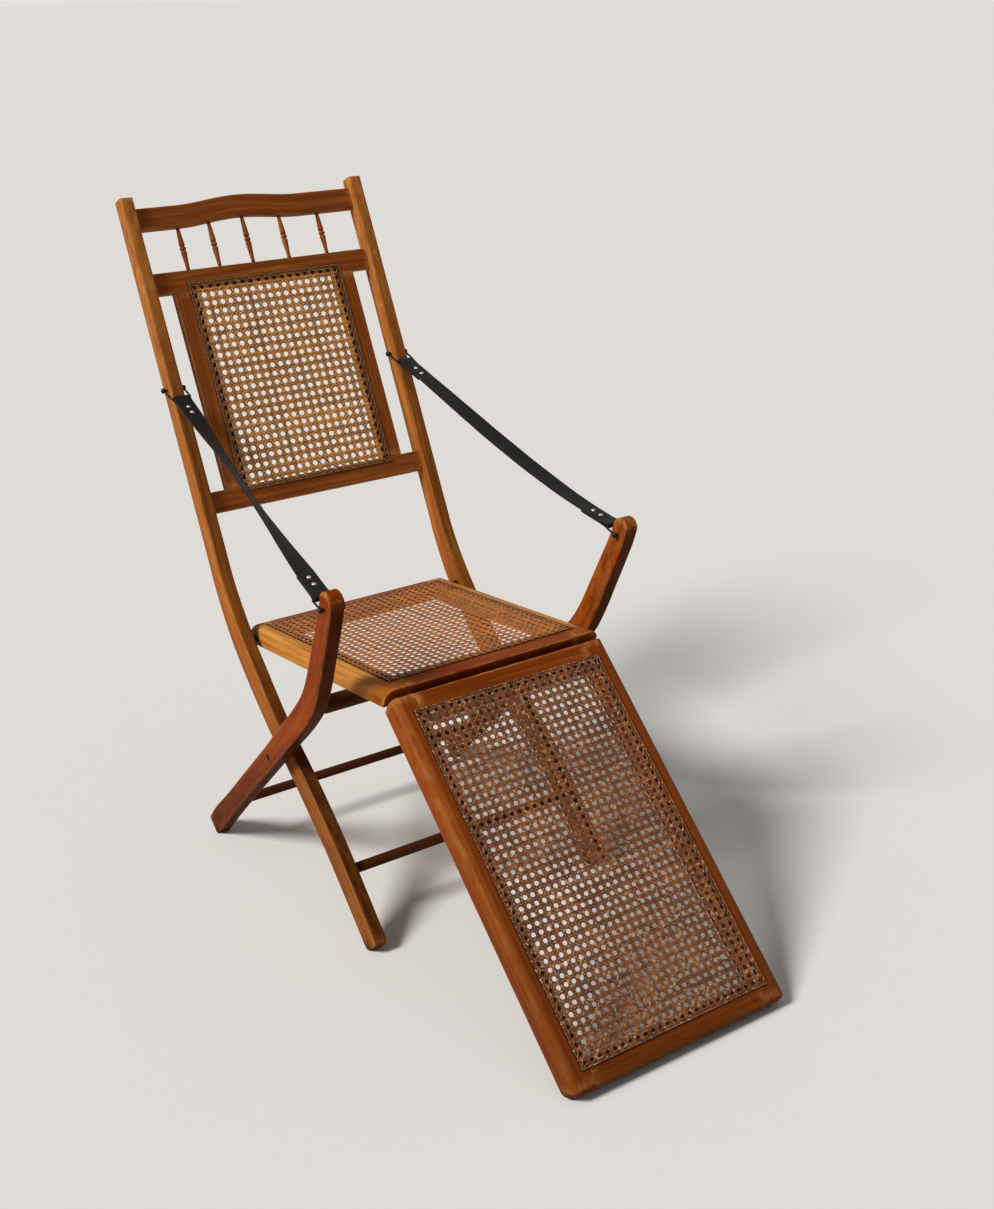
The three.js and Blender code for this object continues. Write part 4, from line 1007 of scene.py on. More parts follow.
def weave(half, reach, columns, rows, cane, seed):
    """Six-way caning between two rows and two columns of bored holes: pairs up and across, and two diagonals
    that cross on the pairs half-way between the pairs' own crossings, which leaves octagonal openings."""
    rng = np.random.default_rng(seed)
    x0, x1 = -half, half
    y0, y1 = reach
    pitch_x, pitch_y = (x1 - x0) / columns, (y1 - y0) / rows
    lines, widths, sides, shades = [], [], [], []

    def add(points, width, side):
        lines.append(dipped_ends(points))
        widths.append(width * rng.uniform(*STRIP_WIDTHS))
        sides.append(np.array(side, float))
        shades.append(rng.uniform(0, 1))

    def straight(count, first, last, fixed, sign, vertical):
        stations = np.linspace(first, last, 2 * count + 1)
        spread = np.full(len(stations), sign * cane.pair_spacing / 2)
        spread[0] = spread[-1] = sign * PAIR_AT_HOLE
        level = np.full(len(stations), cane.lift)
        if not vertical:
            level[2:-1:2] += sign * cane.crimp
        level[0] = level[-1] = HOLE_DEPTH
        other = fixed + spread + rng.normal(0, STRIP_WANDER, len(stations))
        pair = (other, stations) if vertical else (stations, other)
        add(np.stack([*pair, level], -1), cane.strip_width, (1, 0) if vertical else (0, 1))

    for column in range(1, columns):
        for sign in (-1, 1):
            straight(rows, y0, y1, x0 + pitch_x * column, sign, True)
    for row in range(1, rows):
        for sign in (-1, 1):
            straight(columns, x0, x1, y0 + pitch_y * row, sign, False)
    slant = np.array([pitch_y, pitch_x]) / math.hypot(pitch_x, pitch_y)
    for family in (1, -1):
        for start in range(-rows, columns):
            # In half pitches: a line enters where it meets the bottom or a side, between two holes
            u, v = max(2 * start + 1, 0), max(-2 * start - 1, 0)
            count = min(2 * columns - u, 2 * rows - v)
            if count < 2:
                continue
            us, vs = u + np.arange(count + 1), v + np.arange(count + 1)
            level = cane.lift + cane.crimp * family * np.where(us % 2 == 1, 1.0, -1.0)
            level[0] = level[-1] = HOLE_DEPTH
            x, y = x0 + us * pitch_x / 2, y0 + vs * pitch_y / 2
            # Each end slides along to the hole before or after it
            if v == 0:
                x[0] -= pitch_x / 2
            else:
                y[0] -= pitch_y / 2
            if us[-1] == 2 * columns:
                y[-1] += pitch_y / 2
            else:
                x[-1] += pitch_x / 2
            x, y = np.clip(x, x0, x1), np.clip(y, y0, y1)
            if family < 0:
                x = x0 + x1 - x
            add(np.stack([x, y, level], -1), cane.diagonal_width, (slant[0], -family * slant[1]))
    return strips(lines, widths, sides, shades, cane.thickness / 2)


def binding_lines(half, reach, level):
    """The strip that binds a panel's edge, as a line along each side that runs a little past the corners."""
    lines = []
    for y in reach:
        run = np.linspace(-half - BINDING_PAST, half + BINDING_PAST, 60)
        wave = BINDING_WAVE * np.sin(run * BINDING_TURN)
        lines.append((np.stack([run, np.full_like(run, y), level + wave], -1), (0, 1)))
    for x in (-half, half):
        run = np.linspace(reach[0] - BINDING_PAST, reach[1] + BINDING_PAST, 80)
        wave = BINDING_WAVE * np.sin(run * BINDING_TURN)
        lines.append((np.stack([np.full_like(run, x), run, level + wave], -1), (1, 0)))
    return lines


def dirty_shaded_margin(name, drawing, body, outer, inner):
    """The wood that shows between the strips where the weave lies on the frame, dark with dirt and painted
    shade.
    """
    rows = []
    rings = ((outer, -1), (outer, 1), (inner, 1), (inner, -1), (outer, -1))
    for (half, (near, far)), side in rings:
        rows += [(x, y, side * MARGIN_HALF) for x, y in rectangle((-half, half), (near, far))]
    across, along, deep = np.array(rows).T
    marks = {"grain": np.stack([along, across, deep], -1) * MM, "edge": 0 * across, "dirt_and_shade": 0 * across}
    wood = finish("dirty shaded beech")
    points = drawing(across, along, deep)
    new_piece(f"{name}_margin", points, grid_faces(len(rings), 4), body, wood, (), marks)


def border_stain_and_shade(x, y, opening, share):
    """Strips are stained, and darkened with painted shade, by a share where they lie on the frame, outside
    its opening.
    """
    half, (near, far) = opening
    inside = np.minimum(half - np.abs(x), np.minimum(y - near, far - y))
    return np.where(inside > 0, 0.0, share)


def bores(name, drawing, body, holes):
    """The holes at a panel's edge, each with a worn rim and a dark bottom, the dark being painted shade of
    the hole's depth.
    """
    rim, faces = [], []
    turn = np.arange(BORE_SIDES) * 2 * math.pi / BORE_SIDES
    for hole_x, hole_y, _ in holes:
        faces.append(grid_faces(len(BORE_ROWS), BORE_SIDES) + len(rim))
        for radius, level in BORE_ROWS:
            rim += [(hole_x + radius * math.cos(t), hole_y + radius * math.sin(t), level) for t in turn]
    rim = np.array(rim)
    marks = {"grain": rim * MM, "edge": np.zeros(len(rim)), "dirt_and_shade": np.zeros(len(rim))}
    faces = np.vstack(faces)
    new_piece(f"{name}_bores", drawing(*rim.T), faces, body, finish("bore"), (), marks)


def cane_panel(name, drawing, body, sheet, opening, pitch, kind, cane, seed, border):
    """A woven panel, the strip that binds its edge and the loops that tie the strip down."""
    half, (near, far) = sheet
    dirty_shaded_margin(name, drawing, body, (half - GAP, (near + GAP, far - GAP)), opening)
    edge_x, low_y, high_y = half - cane.edge_inset, near + cane.edge_inset, far - cane.edge_inset
    columns, rows = round(2 * edge_x / pitch), round((high_y - low_y) / pitch)
    points, faces, marks = weave(edge_x, (low_y, high_y), columns, rows, cane, seed)
    x, y, z = points.T
    along, across = np.clip((y - near) / (far - near), 0, 1), np.clip((x + half) / 2 / half, 0, 1)
    placed = drawing(x, y, z - cane.sag * np.sin(math.pi * across) * np.sin(math.pi * along))
    # Strips on the frame are stained and get painted shade
    marks["stain"] = border_stain_and_shade(x, y, opening, border)
    new_piece(f"{name}_weave", placed, faces, body, finish(kind), [name], marks)
    rng = np.random.default_rng(seed + 1)
    lines, widths, sides, shades = [], [], [], []
    for line, side in binding_lines(edge_x, (low_y, high_y), cane.lift + BINDING_RISE):
        lines.append(line)
        widths.append(cane.binding_width)
        sides.append(np.array(side, float))
        shades.append(rng.uniform(0.5, 1))
    xs, ys = np.linspace(-edge_x, edge_x, columns + 1), np.linspace(low_y, high_y, rows + 1)
    holes = [(x, y, (0, 1)) for x in xs for y in (low_y, high_y)]
    holes += [(x, y, (1, 0)) for y in ys[1:-1] for x in (-edge_x, edge_x)]
    angle = np.linspace(0, math.pi, 7)
    out = np.cos(angle) * (cane.binding_width / 2 + LOOP_CLEARANCE)
    rise = cane.lift + np.sin(angle) ** 0.5 * LOOP_RISE - LOOP_DROP
    for hole_x, hole_y, way in holes:
        lines.append(np.stack([hole_x + way[0] * out, hole_y + way[1] * out, rise], -1))
        widths.append(cane.strip_width * LOOP_WIDTH_SHARE)
        sides.append(np.array(way[::-1], float))
        shades.append(rng.uniform(0.2, 1))
    points, faces, marks = strips(lines, widths, sides, shades, cane.thickness / 2)
    # The binding lies on the frame: stained and painted shade as well
    marks["stain"] = np.full(len(points), border)
    new_piece(f"{name}_binding", drawing(*points.T), faces, body, finish(kind), (), marks)
    bores(name, drawing, body, holes)


# Metal


def dome(head, base, way, steps):
    """Rows of a domed head, which has a radius and a height, from its crown to its rim. It stands on its base
    and rises one way along the pin."""
    radius, height = head
    turns = np.linspace(0, math.pi / 2, steps)
    return [(radius * math.sin(t), base + way * height * math.cos(t)) for t in turns]


def domed_pin(shank, head, reach):
    """Rows of a pin with a domed head at each end."""
    under, face = HEAD_UNDER_SHARE * head[0], reach - HEAD_UNDER
    rows = [(under, -face), (shank, -face), (shank, face), (under, face)]
    return dome(head, -reach, -1, 7) + rows + dome(head, reach, 1, 7)[::-1]


def washer_rows():
    """Once round the section of a washer between stile and arm post, its edges eased."""
    first = STILE_OUTSIDE + GAP
    last = first + WASHER_THICKNESS
    bore, rim = WASHER_BORE_RADIUS, WASHER_RADIUS
    return [
        (bore, first + WASHER_BORE_EASE),
        (bore + WASHER_BORE_EASE, first),
        (rim - WASHER_EASE, first),
        (rim, first + WASHER_EASE),
        (rim, last - WASHER_EASE),
        (rim - WASHER_EASE, last),
        (bore + WASHER_BORE_EASE, last),
        (bore, last - WASHER_BORE_EASE),
        (bore, first + WASHER_BORE_EASE),
    ]


def turned_metal(name, rows, place, body, kind, replaces, sides=28):
    """A pin, washer or rivet in the place of the solid that it replaces."""
    points, faces, _ = turned(rows, place, sides)
    new_piece(name, points, faces, body, finish(kind), [replaces])


def tube(path, radius):
    """A round wire along a path, its frame carried along without twist."""
    heading = np.gradient(path, axis=0)
    heading /= np.linalg.norm(heading, axis=1)[:, None]
    side = np.cross(heading[0], (1.0, 0.37, 0.21))
    side /= np.linalg.norm(side)
    angle = np.arange(WIRE_SIDES) * 2 * math.pi / WIRE_SIDES
    rings = []
    for point, way in zip(path, heading):
        side = side - way * (side @ way)
        side /= np.linalg.norm(side)
        up = np.cross(way, side)
        rings.append(point + radius * (np.cos(angle)[:, None] * side + np.sin(angle)[:, None] * up))
    rings = np.array([np.repeat(path[:1], WIRE_SIDES, 0), *rings, np.repeat(path[-1:], WIRE_SIDES, 0)])
    return rings, grid_faces(len(rings), WIRE_SIDES)


def bail_path(pin, reach, towards):
    """A stirrup: an eye round the pin, a leg, the bar across, a leg and an eye. Drawn in across and out."""
    eye = []
    for turn in np.linspace(BAIL_EYE_TURNS[0] * math.pi, BAIL_EYE_TURNS[1] * math.pi, 22):
        out, up = -BAIL_EYE_RADIUS * math.sin(turn), BAIL_EYE_RADIUS * math.cos(turn)
        if out < BAIL_EYE_RADIUS * BAIL_EYE_SHARE:
            eye.append((-BAIL_HALF, out, up))
    shoulder = reach - BAIL_CORNER
    leg = [(-BAIL_HALF, out, 0.0) for out in np.linspace(BAIL_LEG_FROM, shoulder, 6)]
    bend = []
    for turn in np.linspace(0, math.pi / 2, 7):
        across = -BAIL_HALF + BAIL_CORNER * (1 - math.cos(turn))
        bend.append((across, shoulder + BAIL_CORNER * math.sin(turn), 0.0))
    half = eye + leg + bend
    across, out, up = np.array(half + [(-x, y, z) for x, y, z in half[::-1]]).T[..., None]
    upward = np.array([0, -towards[2], towards[1]])
    return pin + across * X_AXIS + out * towards + up * upward


# Straps


class StrapLie:
    """How a strap hangs between its bars. It is worked out on the chair's right and mirrored for the left."""

    def __init__(self, side):
        self.hanging = STRAP_HANGING[side]
        self.mirror = self.hanging["mirror"]
        self.stile_pin = np.array([STILE_MIDDLE, *STILE_BAIL_PIN])
        self.arm_pin = np.array([float(arm_middle_at(ARM_BAIL_PIN[1])), *ARM_BAIL_PIN])
        self.pull = (self.arm_pin - self.stile_pin) * (0, 1, 1)
        self.pull /= np.linalg.norm(self.pull)
        self.stile_bar = self.stile_pin + self.pull * STILE_BAIL_REACH
        run = self.arm_pin - self.pull * ARM_BAIL_REACH - self.stile_bar
        self.span = np.linalg.norm(run)
        self.heading = run / self.span
        self.upward = np.cross(self.heading, X_AXIS)
        self.upward /= np.linalg.norm(self.upward)

    def place(self, along, up):
        """The point at a distance along the strap and a height over its middle."""
        along, up = np.asarray(along, float), np.asarray(up, float)
        share = np.clip(along / self.span, 0, 1)
        sag = self.hanging["sag"] + self.hanging["lower_sag"] * share
        drop = share * (1 - share) * sag
        steep = ((1 - 2 * share) * sag + share * (1 - share) * self.hanging["lower_sag"]) / self.span
        out = self.upward + self.heading * steep[..., None]
        out /= np.linalg.norm(out, axis=-1, keepdims=True)
        past_ends = steep * (along - share * self.span)
        level = self.stile_bar + self.heading * along[..., None]
        return level - self.upward * (drop + past_ends)[..., None] + out * up[..., None]


def strap_middle(span, strap):
    """Rows of a distance along and a height: tail, loop round a bar, the run, and the same at the far end."""
    layer = (strap.thickness + STRAP_LAYER_GAP) / 2
    loop = WIRE_RADIUS + GAP + strap.thickness / 2
    end = [(along, -layer) for along in np.linspace(STRAP_FLAP, STRAP_NECK, 9)]
    end += [(loop * math.cos(t), loop * math.sin(t)) for t in np.linspace(-math.pi / 2, -1.5 * math.pi, 15)]
    end += [(along, layer) for along in np.linspace(STRAP_NECK, STRAP_FLAP, 9)]
    run = [(along, layer) for along in np.linspace(STRAP_FLAP, span - STRAP_FLAP, 62)[1:-1]]
    far_end = [(span - along, up) for along, up in end[::-1]]
    return end, run, far_end


def strap_skin(lie, rows, strap, seed):
    """The strap's rings of points with their marks, the middle of each ring and the way it heads."""
    rng = np.random.default_rng(seed)
    middles = lie.place(rows[:, 0], rows[:, 1])
    heading = np.gradient(middles, axis=0)
    heading /= np.linalg.norm(heading, axis=1)[:, None]
    face_up = np.cross(heading, X_AXIS)
    share = np.clip((rows[:, 0] - STRAP_FLAP) / (lie.span - 2 * STRAP_FLAP), 0, 1)
    swell = np.sin(math.pi * share)
    turn = np.radians(lie.hanging["twist"]) * swell
    wide = X_AXIS * np.cos(turn)[:, None] + face_up * np.sin(turn)[:, None]
    thick = face_up * np.cos(turn)[:, None] - X_AXIS * np.sin(turn)[:, None]
    half_width, half_thick = strap.width / 2, strap.thickness / 2
    corners = rectangle((-half_width, half_width), (-half_thick, half_thick))
    across, deep, keen = rounded(corners, [half_thick * STRAP_EDGE_ROUND] * 4, 3, 9).T
    cup = STRAP_CUP * (across / half_width) ** 2 * swell[:, None]
    ripple = np.convolve(rng.normal(0, STRAP_RIPPLE, len(rows) + 8), np.ones(9) / 9, "valid") * swell
    lift = deep + cup + ripple[:, None]
    points = middles[:, None, :] + wide[:, None, :] * across[:, None] + thick[:, None, :] * lift[..., None]
    points[..., 0] *= lie.mirror
    travelled = np.concatenate([[0], np.cumsum(np.linalg.norm(np.diff(middles, axis=0), axis=1))])
    keen = np.maximum(keen, np.abs(across) > half_width * STRAP_SCUFFED_FROM)
    along, across, keen = np.broadcast_arrays(travelled[:, None], across, keen)
    return points, np.stack([along, across, 0 * across], -1) * MM + seed, keen, middles, heading


def strap_pieces(side, strap, seed):
    """The strap in three parts."""
    lie = StrapLie(side)
    end, run, far_end = strap_middle(lie.span, strap)
    rows = np.array(end + run + far_end)
    points, grain, keen, middles, heading = strap_skin(lie, rows, strap, seed)
    seam = len(end) + STRAP_SEAM_ROWS
    cuts = (0, seam, len(rows) - 1 - seam, len(rows) - 1)
    starts = (len(end) - 1, cuts[1], cuts[2])
    stops = (cuts[1], cuts[2], len(rows) - len(far_end))
    for part, name in enumerate(("upper", "middle", "lower")):
        first, last = cuts[part], cuts[part + 1]
        ring = points[first : last + 1]
        past = np.array([-heading[first], heading[last]]) * (lie.mirror, 1, 1) * STRAP_SEAM
        rims = [ring[place] + past[place] for place in (0, -1)]
        caps = [np.repeat(rim.mean(0, keepdims=True), len(rim), 0) for rim in rims]
        solid = np.stack([caps[0], rims[0], *ring, rims[1], caps[1]])
        own_grain = np.pad(grain[first : last + 1], ((2, 2), (0, 0), (0, 0)), mode="edge")
        edge = np.pad(keen[first : last + 1], ((2, 2), (0, 0)), mode="edge")
        marks = {"grain": own_grain.reshape(-1, 3), "edge": edge.ravel()}
        faces = grid_faces(len(solid), solid.shape[1])
        whole = f"strap_{side}"
        leather = finish("leather")
        piece = new_piece(f"{whole}_{name}", solid, faces, None, leather, [whole], marks)
        start, stop = ((0, y + LENGTH_SHIFT, z) for _, y, z in middles[[starts[part], stops[part]]])
        start, stop = (tuple(place * MM for place in point) for point in (start, stop))
        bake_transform(piece)


def rivet_piece(name, lie, station, strap, body):
    """A rivet through both layers of a fold."""
    face = (strap.thickness + STRAP_LAYER_GAP) / 2 + strap.thickness / 2 + RIVET_CLEARANCE
    middle = lie.place(station, 0.0)
    out = lie.place(station, 1.0) - middle
    deep_way = np.cross(out, X_AXIS)
    shank = [(RIVET_SHANK_RADIUS, way * (face - RIVET_SINK)) for way in (-1, 1)]
    rows = dome(RIVET_TAIL, -face, -1, 5) + shank + dome(RIVET_HEAD, face, 1, 8)[::-1]

    def place(along, across, deep):
        point = middle + along[..., None] * out + across[..., None] * X_AXIS + deep[..., None] * deep_way
        point[..., 0] *= lie.mirror
        return point

    turned_metal(f"{name}_nickel", rows, place, body, "steel", name, 24)


# Settings


def size_setting(name, description, default):
    """A size in millimetres that the user may change."""
    return FloatProperty(name=name, description=description, default=default, min=0.0)


class ChairCane(bpy.types.PropertyGroup):
    """Sizes of the caning, in millimetres."""

    seat_pitch: size_setting("Seat pitch", "Hole spacing of the seat and the leg rest", 12.7)
    back_pitch: size_setting("Back pitch", "Hole spacing of the back panel", 14.6)
    strip_width: size_setting("Strip width", "Width of the paired strips", 3.0)
    diagonal_width: size_setting("Diagonal width", "Width of the diagonal strips", 2.5)
    pair_spacing: size_setting("Pair spacing", "Distance between two paired strips", 3.25)
    thickness: size_setting("Thickness", "Thickness of a strip", 0.75)
    crimp: size_setting("Crimp", "How far a strip rises and dips where it crosses", 0.6)
    lift: size_setting("Lift", "Height of the weave's middle over the wood", 1.1)
    sag: size_setting("Sag", "How far the middle of a panel hangs", 1.5)
    edge_inset: size_setting("Edge inset", "From a panel's edge to its holes", 2.4)
    binding_width: size_setting("Binding width", "Width of the strip round a panel", 2.0)


class ChairStraps(bpy.types.PropertyGroup):
    """Sizes of the straps, in millimetres."""

    width: size_setting("Width", "Width of a strap", 28.0)
    thickness: size_setting("Thickness", "Thickness of the leather", 2.4)


def colour_setting(name, description, colour):
    """A colour that the user may change."""
    limits = {"subtype": "COLOR", "min": 0.0, "max": 1.0}
    return FloatVectorProperty(name=name, description=description, default=linear(colour)[:3], **limits)


class ChairColours(bpy.types.PropertyGroup):
    """The middle tone of each finish."""

    golden_wood: colour_setting("Golden wood", "Varnished wood of the seat's side rails", "#c07f38")
    amber_wood: colour_setting("Amber wood", "Varnished wood of the stiles", "#a05a20")
    red_wood: colour_setting("Red wood", "Wood of the arm posts and the seat's cross rails", "#823402")
    brown_wood: colour_setting("Brown wood", "Varnished wood of the back's rails and balusters", "#8c491c")
    russet_wood: colour_setting("Russet wood", "Varnished wood of the leg rest", "#883f10")
    dark_wood: colour_setting("Dark wood", "Stained wood of the stretchers and the rung", "#492611")
    # The wood under the cane's edge is dark with dirt and painted shade
    dirty_shaded_wood: colour_setting("Dirty shaded wood", "Unvarnished wood under the edge of the cane", "#3b1c0d")
    bare_wood: colour_setting("Bare wood", "Wood where the varnish has worn off", "#c8894a")
    # Dirt and painted shade: dirt in pores and on feet, painted shade on low parts, the legs' front faces,
    # the balusters' grooves and the bores
    dirt_and_shade_colour: colour_setting("Dirt and shade", "What settles in pores, corners and on feet", "#261107")
    golden_cane: colour_setting("Golden cane", "Cane of the back", "#a56b2c")
    tan_cane: colour_setting("Tan cane", "Cane of the seat", "#9f5a1b")
    grey_cane: colour_setting("Weathered cane", "Cane of the leg rest", "#76421e")
    # The cane stain also darkens strips on the frame as painted shade
    cane_stain: colour_setting("Cane stain", "Dark stains of the cane", "#472611")
    # Pale flecks stand partly for worn cane, partly for painted highlights
    cane_fleck: colour_setting("Cane flecks", "Pale flecks of worn cane", "#c8a87c")
    leather: colour_setting("Leather", "Face of the straps", "#080706")
    worn_leather: colour_setting("Worn leather", "Scuffs and cut edges of the straps", "#241e19")
    iron: colour_setting("Iron", "Pins, washers, bails and the seat's pivots", "#332e2a")
    brass: colour_setting("Brass", "Hinges", "#a8843f")
    nickel: colour_setting("Nickel", "Rivets", "#d2d0cb")


class ChairStage(bpy.types.PropertyGroup):
    """The floor, the light and the camera."""

    floor: colour_setting("Floor", "Colour of the floor", "#e4e1dc")
    key: FloatProperty(name="Key light", description="Strength of the large lamp on the left", default=3.35)
    sky: FloatProperty(name="Surround", description="Strength of the light all round", default=0.24)
    lens: FloatProperty(
        name="Lens", description="Focal length of the camera", default=47.8, subtype="DISTANCE_CAMERA"
    )


class BuildStage(bpy.types.Operator):
    """Lays the floor and sets the lamp, the surround and the camera"""

    bl_idname = "deck_chair.stage"
    bl_label = "Stage"

    def execute(self, context):
        stage = context.scene.deck_chair_stage
        self.floor(context, stage)
        self.lamp(context, stage)
        self.surround(context, stage)
        self.camera(context, stage)
        context.scene.view_settings.view_transform = "Standard"
        return {"FINISHED"}

    def floor(self, context, stage):
        """A plain floor that runs far past the picture's edges."""
        corners = [(x, y, 0) for x, y in rectangle((-FLOOR_HALF, FLOOR_HALF), (-FLOOR_HALF, FLOOR_HALF))]
        mesh = bpy.data.meshes.new("floor")
        mesh.from_pydata(corners, [], [(0, 1, 2, 3)])
        settings = {"Base Color": (*stage.floor, 1), "Roughness": 0.9, "Specular IOR Level": 0.1}
        mesh.materials.append(new_material("Matt studio floor", settings)[0])
        floor = bpy.data.objects.new("floor", mesh)
        context.scene.collection.objects.link(floor)

    def lamp(self, context, stage):
        """A large, soft lamp high on the left."""
        key = bpy.data.lights.new("key", "SUN")
        key.energy = stage.key
        key.angle = math.radians(KEY_SOFTNESS)
        lamp = bpy.data.objects.new("key", key)
        lamp.rotation_euler = Vector(KEY_FROM).to_track_quat("Z", "Y").to_euler()
        context.scene.collection.objects.link(lamp)

    def surround(self, context, stage):
        """Even light all round. The camera, reflections and what shines through see the floor's colour."""
        world = bpy.data.worlds.new("surround")
        world.use_nodes = True
        tree = world.node_tree
        light = tree.nodes["Background"]
        light.inputs["Color"].default_value = (1, 1, 1, 1)
        light.inputs["Strength"].default_value = stage.sky
        seen = add_node(tree, "Background", {"Color": (*stage.floor, 1), "Strength": 1.0})
        rays = add_node(tree, "LightPath").node.outputs
        either = {"operation": "MAXIMUM"}
        passing = add_node(tree, "Math", either, {0: rays["Is Glossy Ray"], 1: rays["Is Transmission Ray"]})
        shown = add_node(tree, "Math", either, {0: rays["Is Camera Ray"], 1: passing})
        mix = add_node(tree, "MixShader", (), {0: shown, 1: light.outputs[0], 2: seen})
        link_inputs(tree, tree.nodes["World Output"], {"Surface": mix})
        context.scene.world = world

    def camera(self, context, stage):
        """Turned round the chair by its azimuth, looking down by its elevation, and rolled a little."""
        azimuth, elevation, roll = map(math.radians, (CAMERA_AZIMUTH, CAMERA_ELEVATION, CAMERA_ROLL))
        level = math.cos(elevation)
        back = Vector((math.sin(azimuth) * level, -math.cos(azimuth) * level, math.sin(elevation)))
        right = (-back).cross(Vector((0, 0, 1))).normalized()
        up = right.cross(-back)
        right, up = right * math.cos(roll) + up * math.sin(roll), up * math.cos(roll) - right * math.sin(roll)
        data = bpy.data.cameras.new("camera")
        data.lens = stage.lens
        data.sensor_width = FILM_WIDTH
        data.clip_end = 200.0
        camera = bpy.data.objects.new("camera", data)
        turn = Matrix((right, up, back)).transposed().to_4x4()
        camera.matrix_world = Matrix.Translation(Vector(CAMERA_PLACE)) @ turn
        context.scene.collection.objects.link(camera)
        context.scene.camera = camera


class BuildStiles(bpy.types.Operator):
    """Makes the two stiles, which run down as the front legs"""

    bl_idname = "deck_chair.stiles"
    bl_label = "Stiles"

    def execute(self, context):
        rounds = (STILE_TOP_ROUND, FRONT_FOOT_ROUND)
        for side, mirror, seed in (("right", 1, 3), ("left", -1, 4)):
            shape = (STILE_LINE, STILE_THICKNESS, stile_middle_at, rounds, mirror)
            bent_leg(f"stile_{side}", *shape, "back_frame", "amber beech", seed, STILE_SHADE_AND_PALING, LEG_TOP_EASE)
        return {"FINISHED"}


class BuildArmPosts(bpy.types.Operator):
    """Makes the two arm posts, which run down as the back legs"""

    bl_idname = "deck_chair.arm_posts"
    bl_label = "Arm posts"

    def execute(self, context):
        rounds = (ARM_LINE[0][2] / 2 - ARM_TOP_SHORT, BACK_FOOT_ROUND)
        for side, mirror, seed, shade_and_paling in (("right", 1, 5, RIGHT_ARM_SHADE_AND_LIGHT), ("left", -1, 6, LEFT_ARM_SHADE)):
            shape = (ARM_LINE, ARM_THICKNESS, arm_middle_at, rounds, mirror)
            bent_leg(f"arm_leg_{side}", *shape, "leg_frame", "red beech", seed, shade_and_paling, ARM_TOP_EASE)
        return {"FINISHED"}


class BuildRoundRails(bpy.types.Operator):
    """Turns the two stretchers and the rung that carries the seat"""

    bl_idname = "deck_chair.round_rails"
    bl_label = "Round rails"

    def execute(self, context):
        front = (FRONT_STRETCHER, FRONT_STRETCHER_RADIUS, STILE_INSIDE)
        rear = (REAR_STRETCHER, REAR_STRETCHER_RADIUS, arm_inside_at(REAR_STRETCHER[1]))
        rung = (SEAT_RUNG, SEAT_RUNG_RADIUS, arm_inside_at(SEAT_RUNG[1]))
        round_rail("front_stretcher", *front, "back_frame", 7)
        round_rail("rear_stretcher", *rear, "leg_frame", 8)
        round_rail("seat_rung", *rung, "leg_frame", 9)
        return {"FINISHED"}


class BuildBackRails(bpy.types.Operator):
    """Makes the crest rail, the two straight rails, the balusters and the panel's own stiles"""

    bl_idname = "deck_chair.back_rails"
    bl_label = "Back rails and balusters"

    def execute(self, context):
        half = STILE_INSIDE - GAP
        rails = (("crest_rail", CREST_RAIL), ("mid_rail", MID_RAIL), ("lower_back_rail", LOWER_RAIL))
        for seed, (name, across) in enumerate(rails, 10):
            crest = name == "crest_rail"
            radii = [RAIL_ARRIS] * 3 + [CREST_UNDER_ROUND if crest else RAIL_ARRIS]
            corners, bend = rectangle(across, (-BACK_THICKNESS, 0.0)), hump_at if crest else None
            board(name, BACK, corners, radii, half, "back_frame", "brown beech", seed, bend, BACK_RAIL_STEPS)
        panel_stile("right", 1, 15)
        panel_stile("left", -1, 16)
        for index, x in enumerate(BALUSTER_PLACES):
            baluster(f"baluster_{index + 1}", x, 20 + index)
        return {"FINISHED"}


class BuildSeatFrame(bpy.types.Operator):
    """Makes the seat's side rails and cross rails"""

    bl_idname = "deck_chair.seat_frame"
    bl_label = "Seat frame"

    def execute(self, context):
        for side, mirror, seed in (("right", 1, 30), ("left", -1, 31)):
            shape = (SEAT, SEAT_THICKNESS, (seat_side_end, SEAT_LENGTH))
            name = f"seat_side_rail_{side}"
            side_rail(name, *shape, "seat", "golden beech", seed, mirror, SEAT_STAIN_LENGTH)
        bottom = -SEAT_THICKNESS
        front = [(SEAT_UNDERCUT, bottom), (SEAT_FRONT_RAIL, bottom), (SEAT_FRONT_RAIL, 0), (0, 0)]
        radii = [INNER_ROUND] * 3 + [SEAT_FRONT_NOSE]
        board("seat_front_rail", SEAT, front, radii, CROSS_RAIL_HALF, "seat", "red beech", 32)
        back = rectangle((SEAT_LENGTH - SEAT_BACK_RAIL, SEAT_LENGTH), (bottom, 0))
        board("seat_back_rail", SEAT, back, [INNER_ROUND] * 4, CROSS_RAIL_HALF, "seat", "red beech", 33)
        return {"FINISHED"}


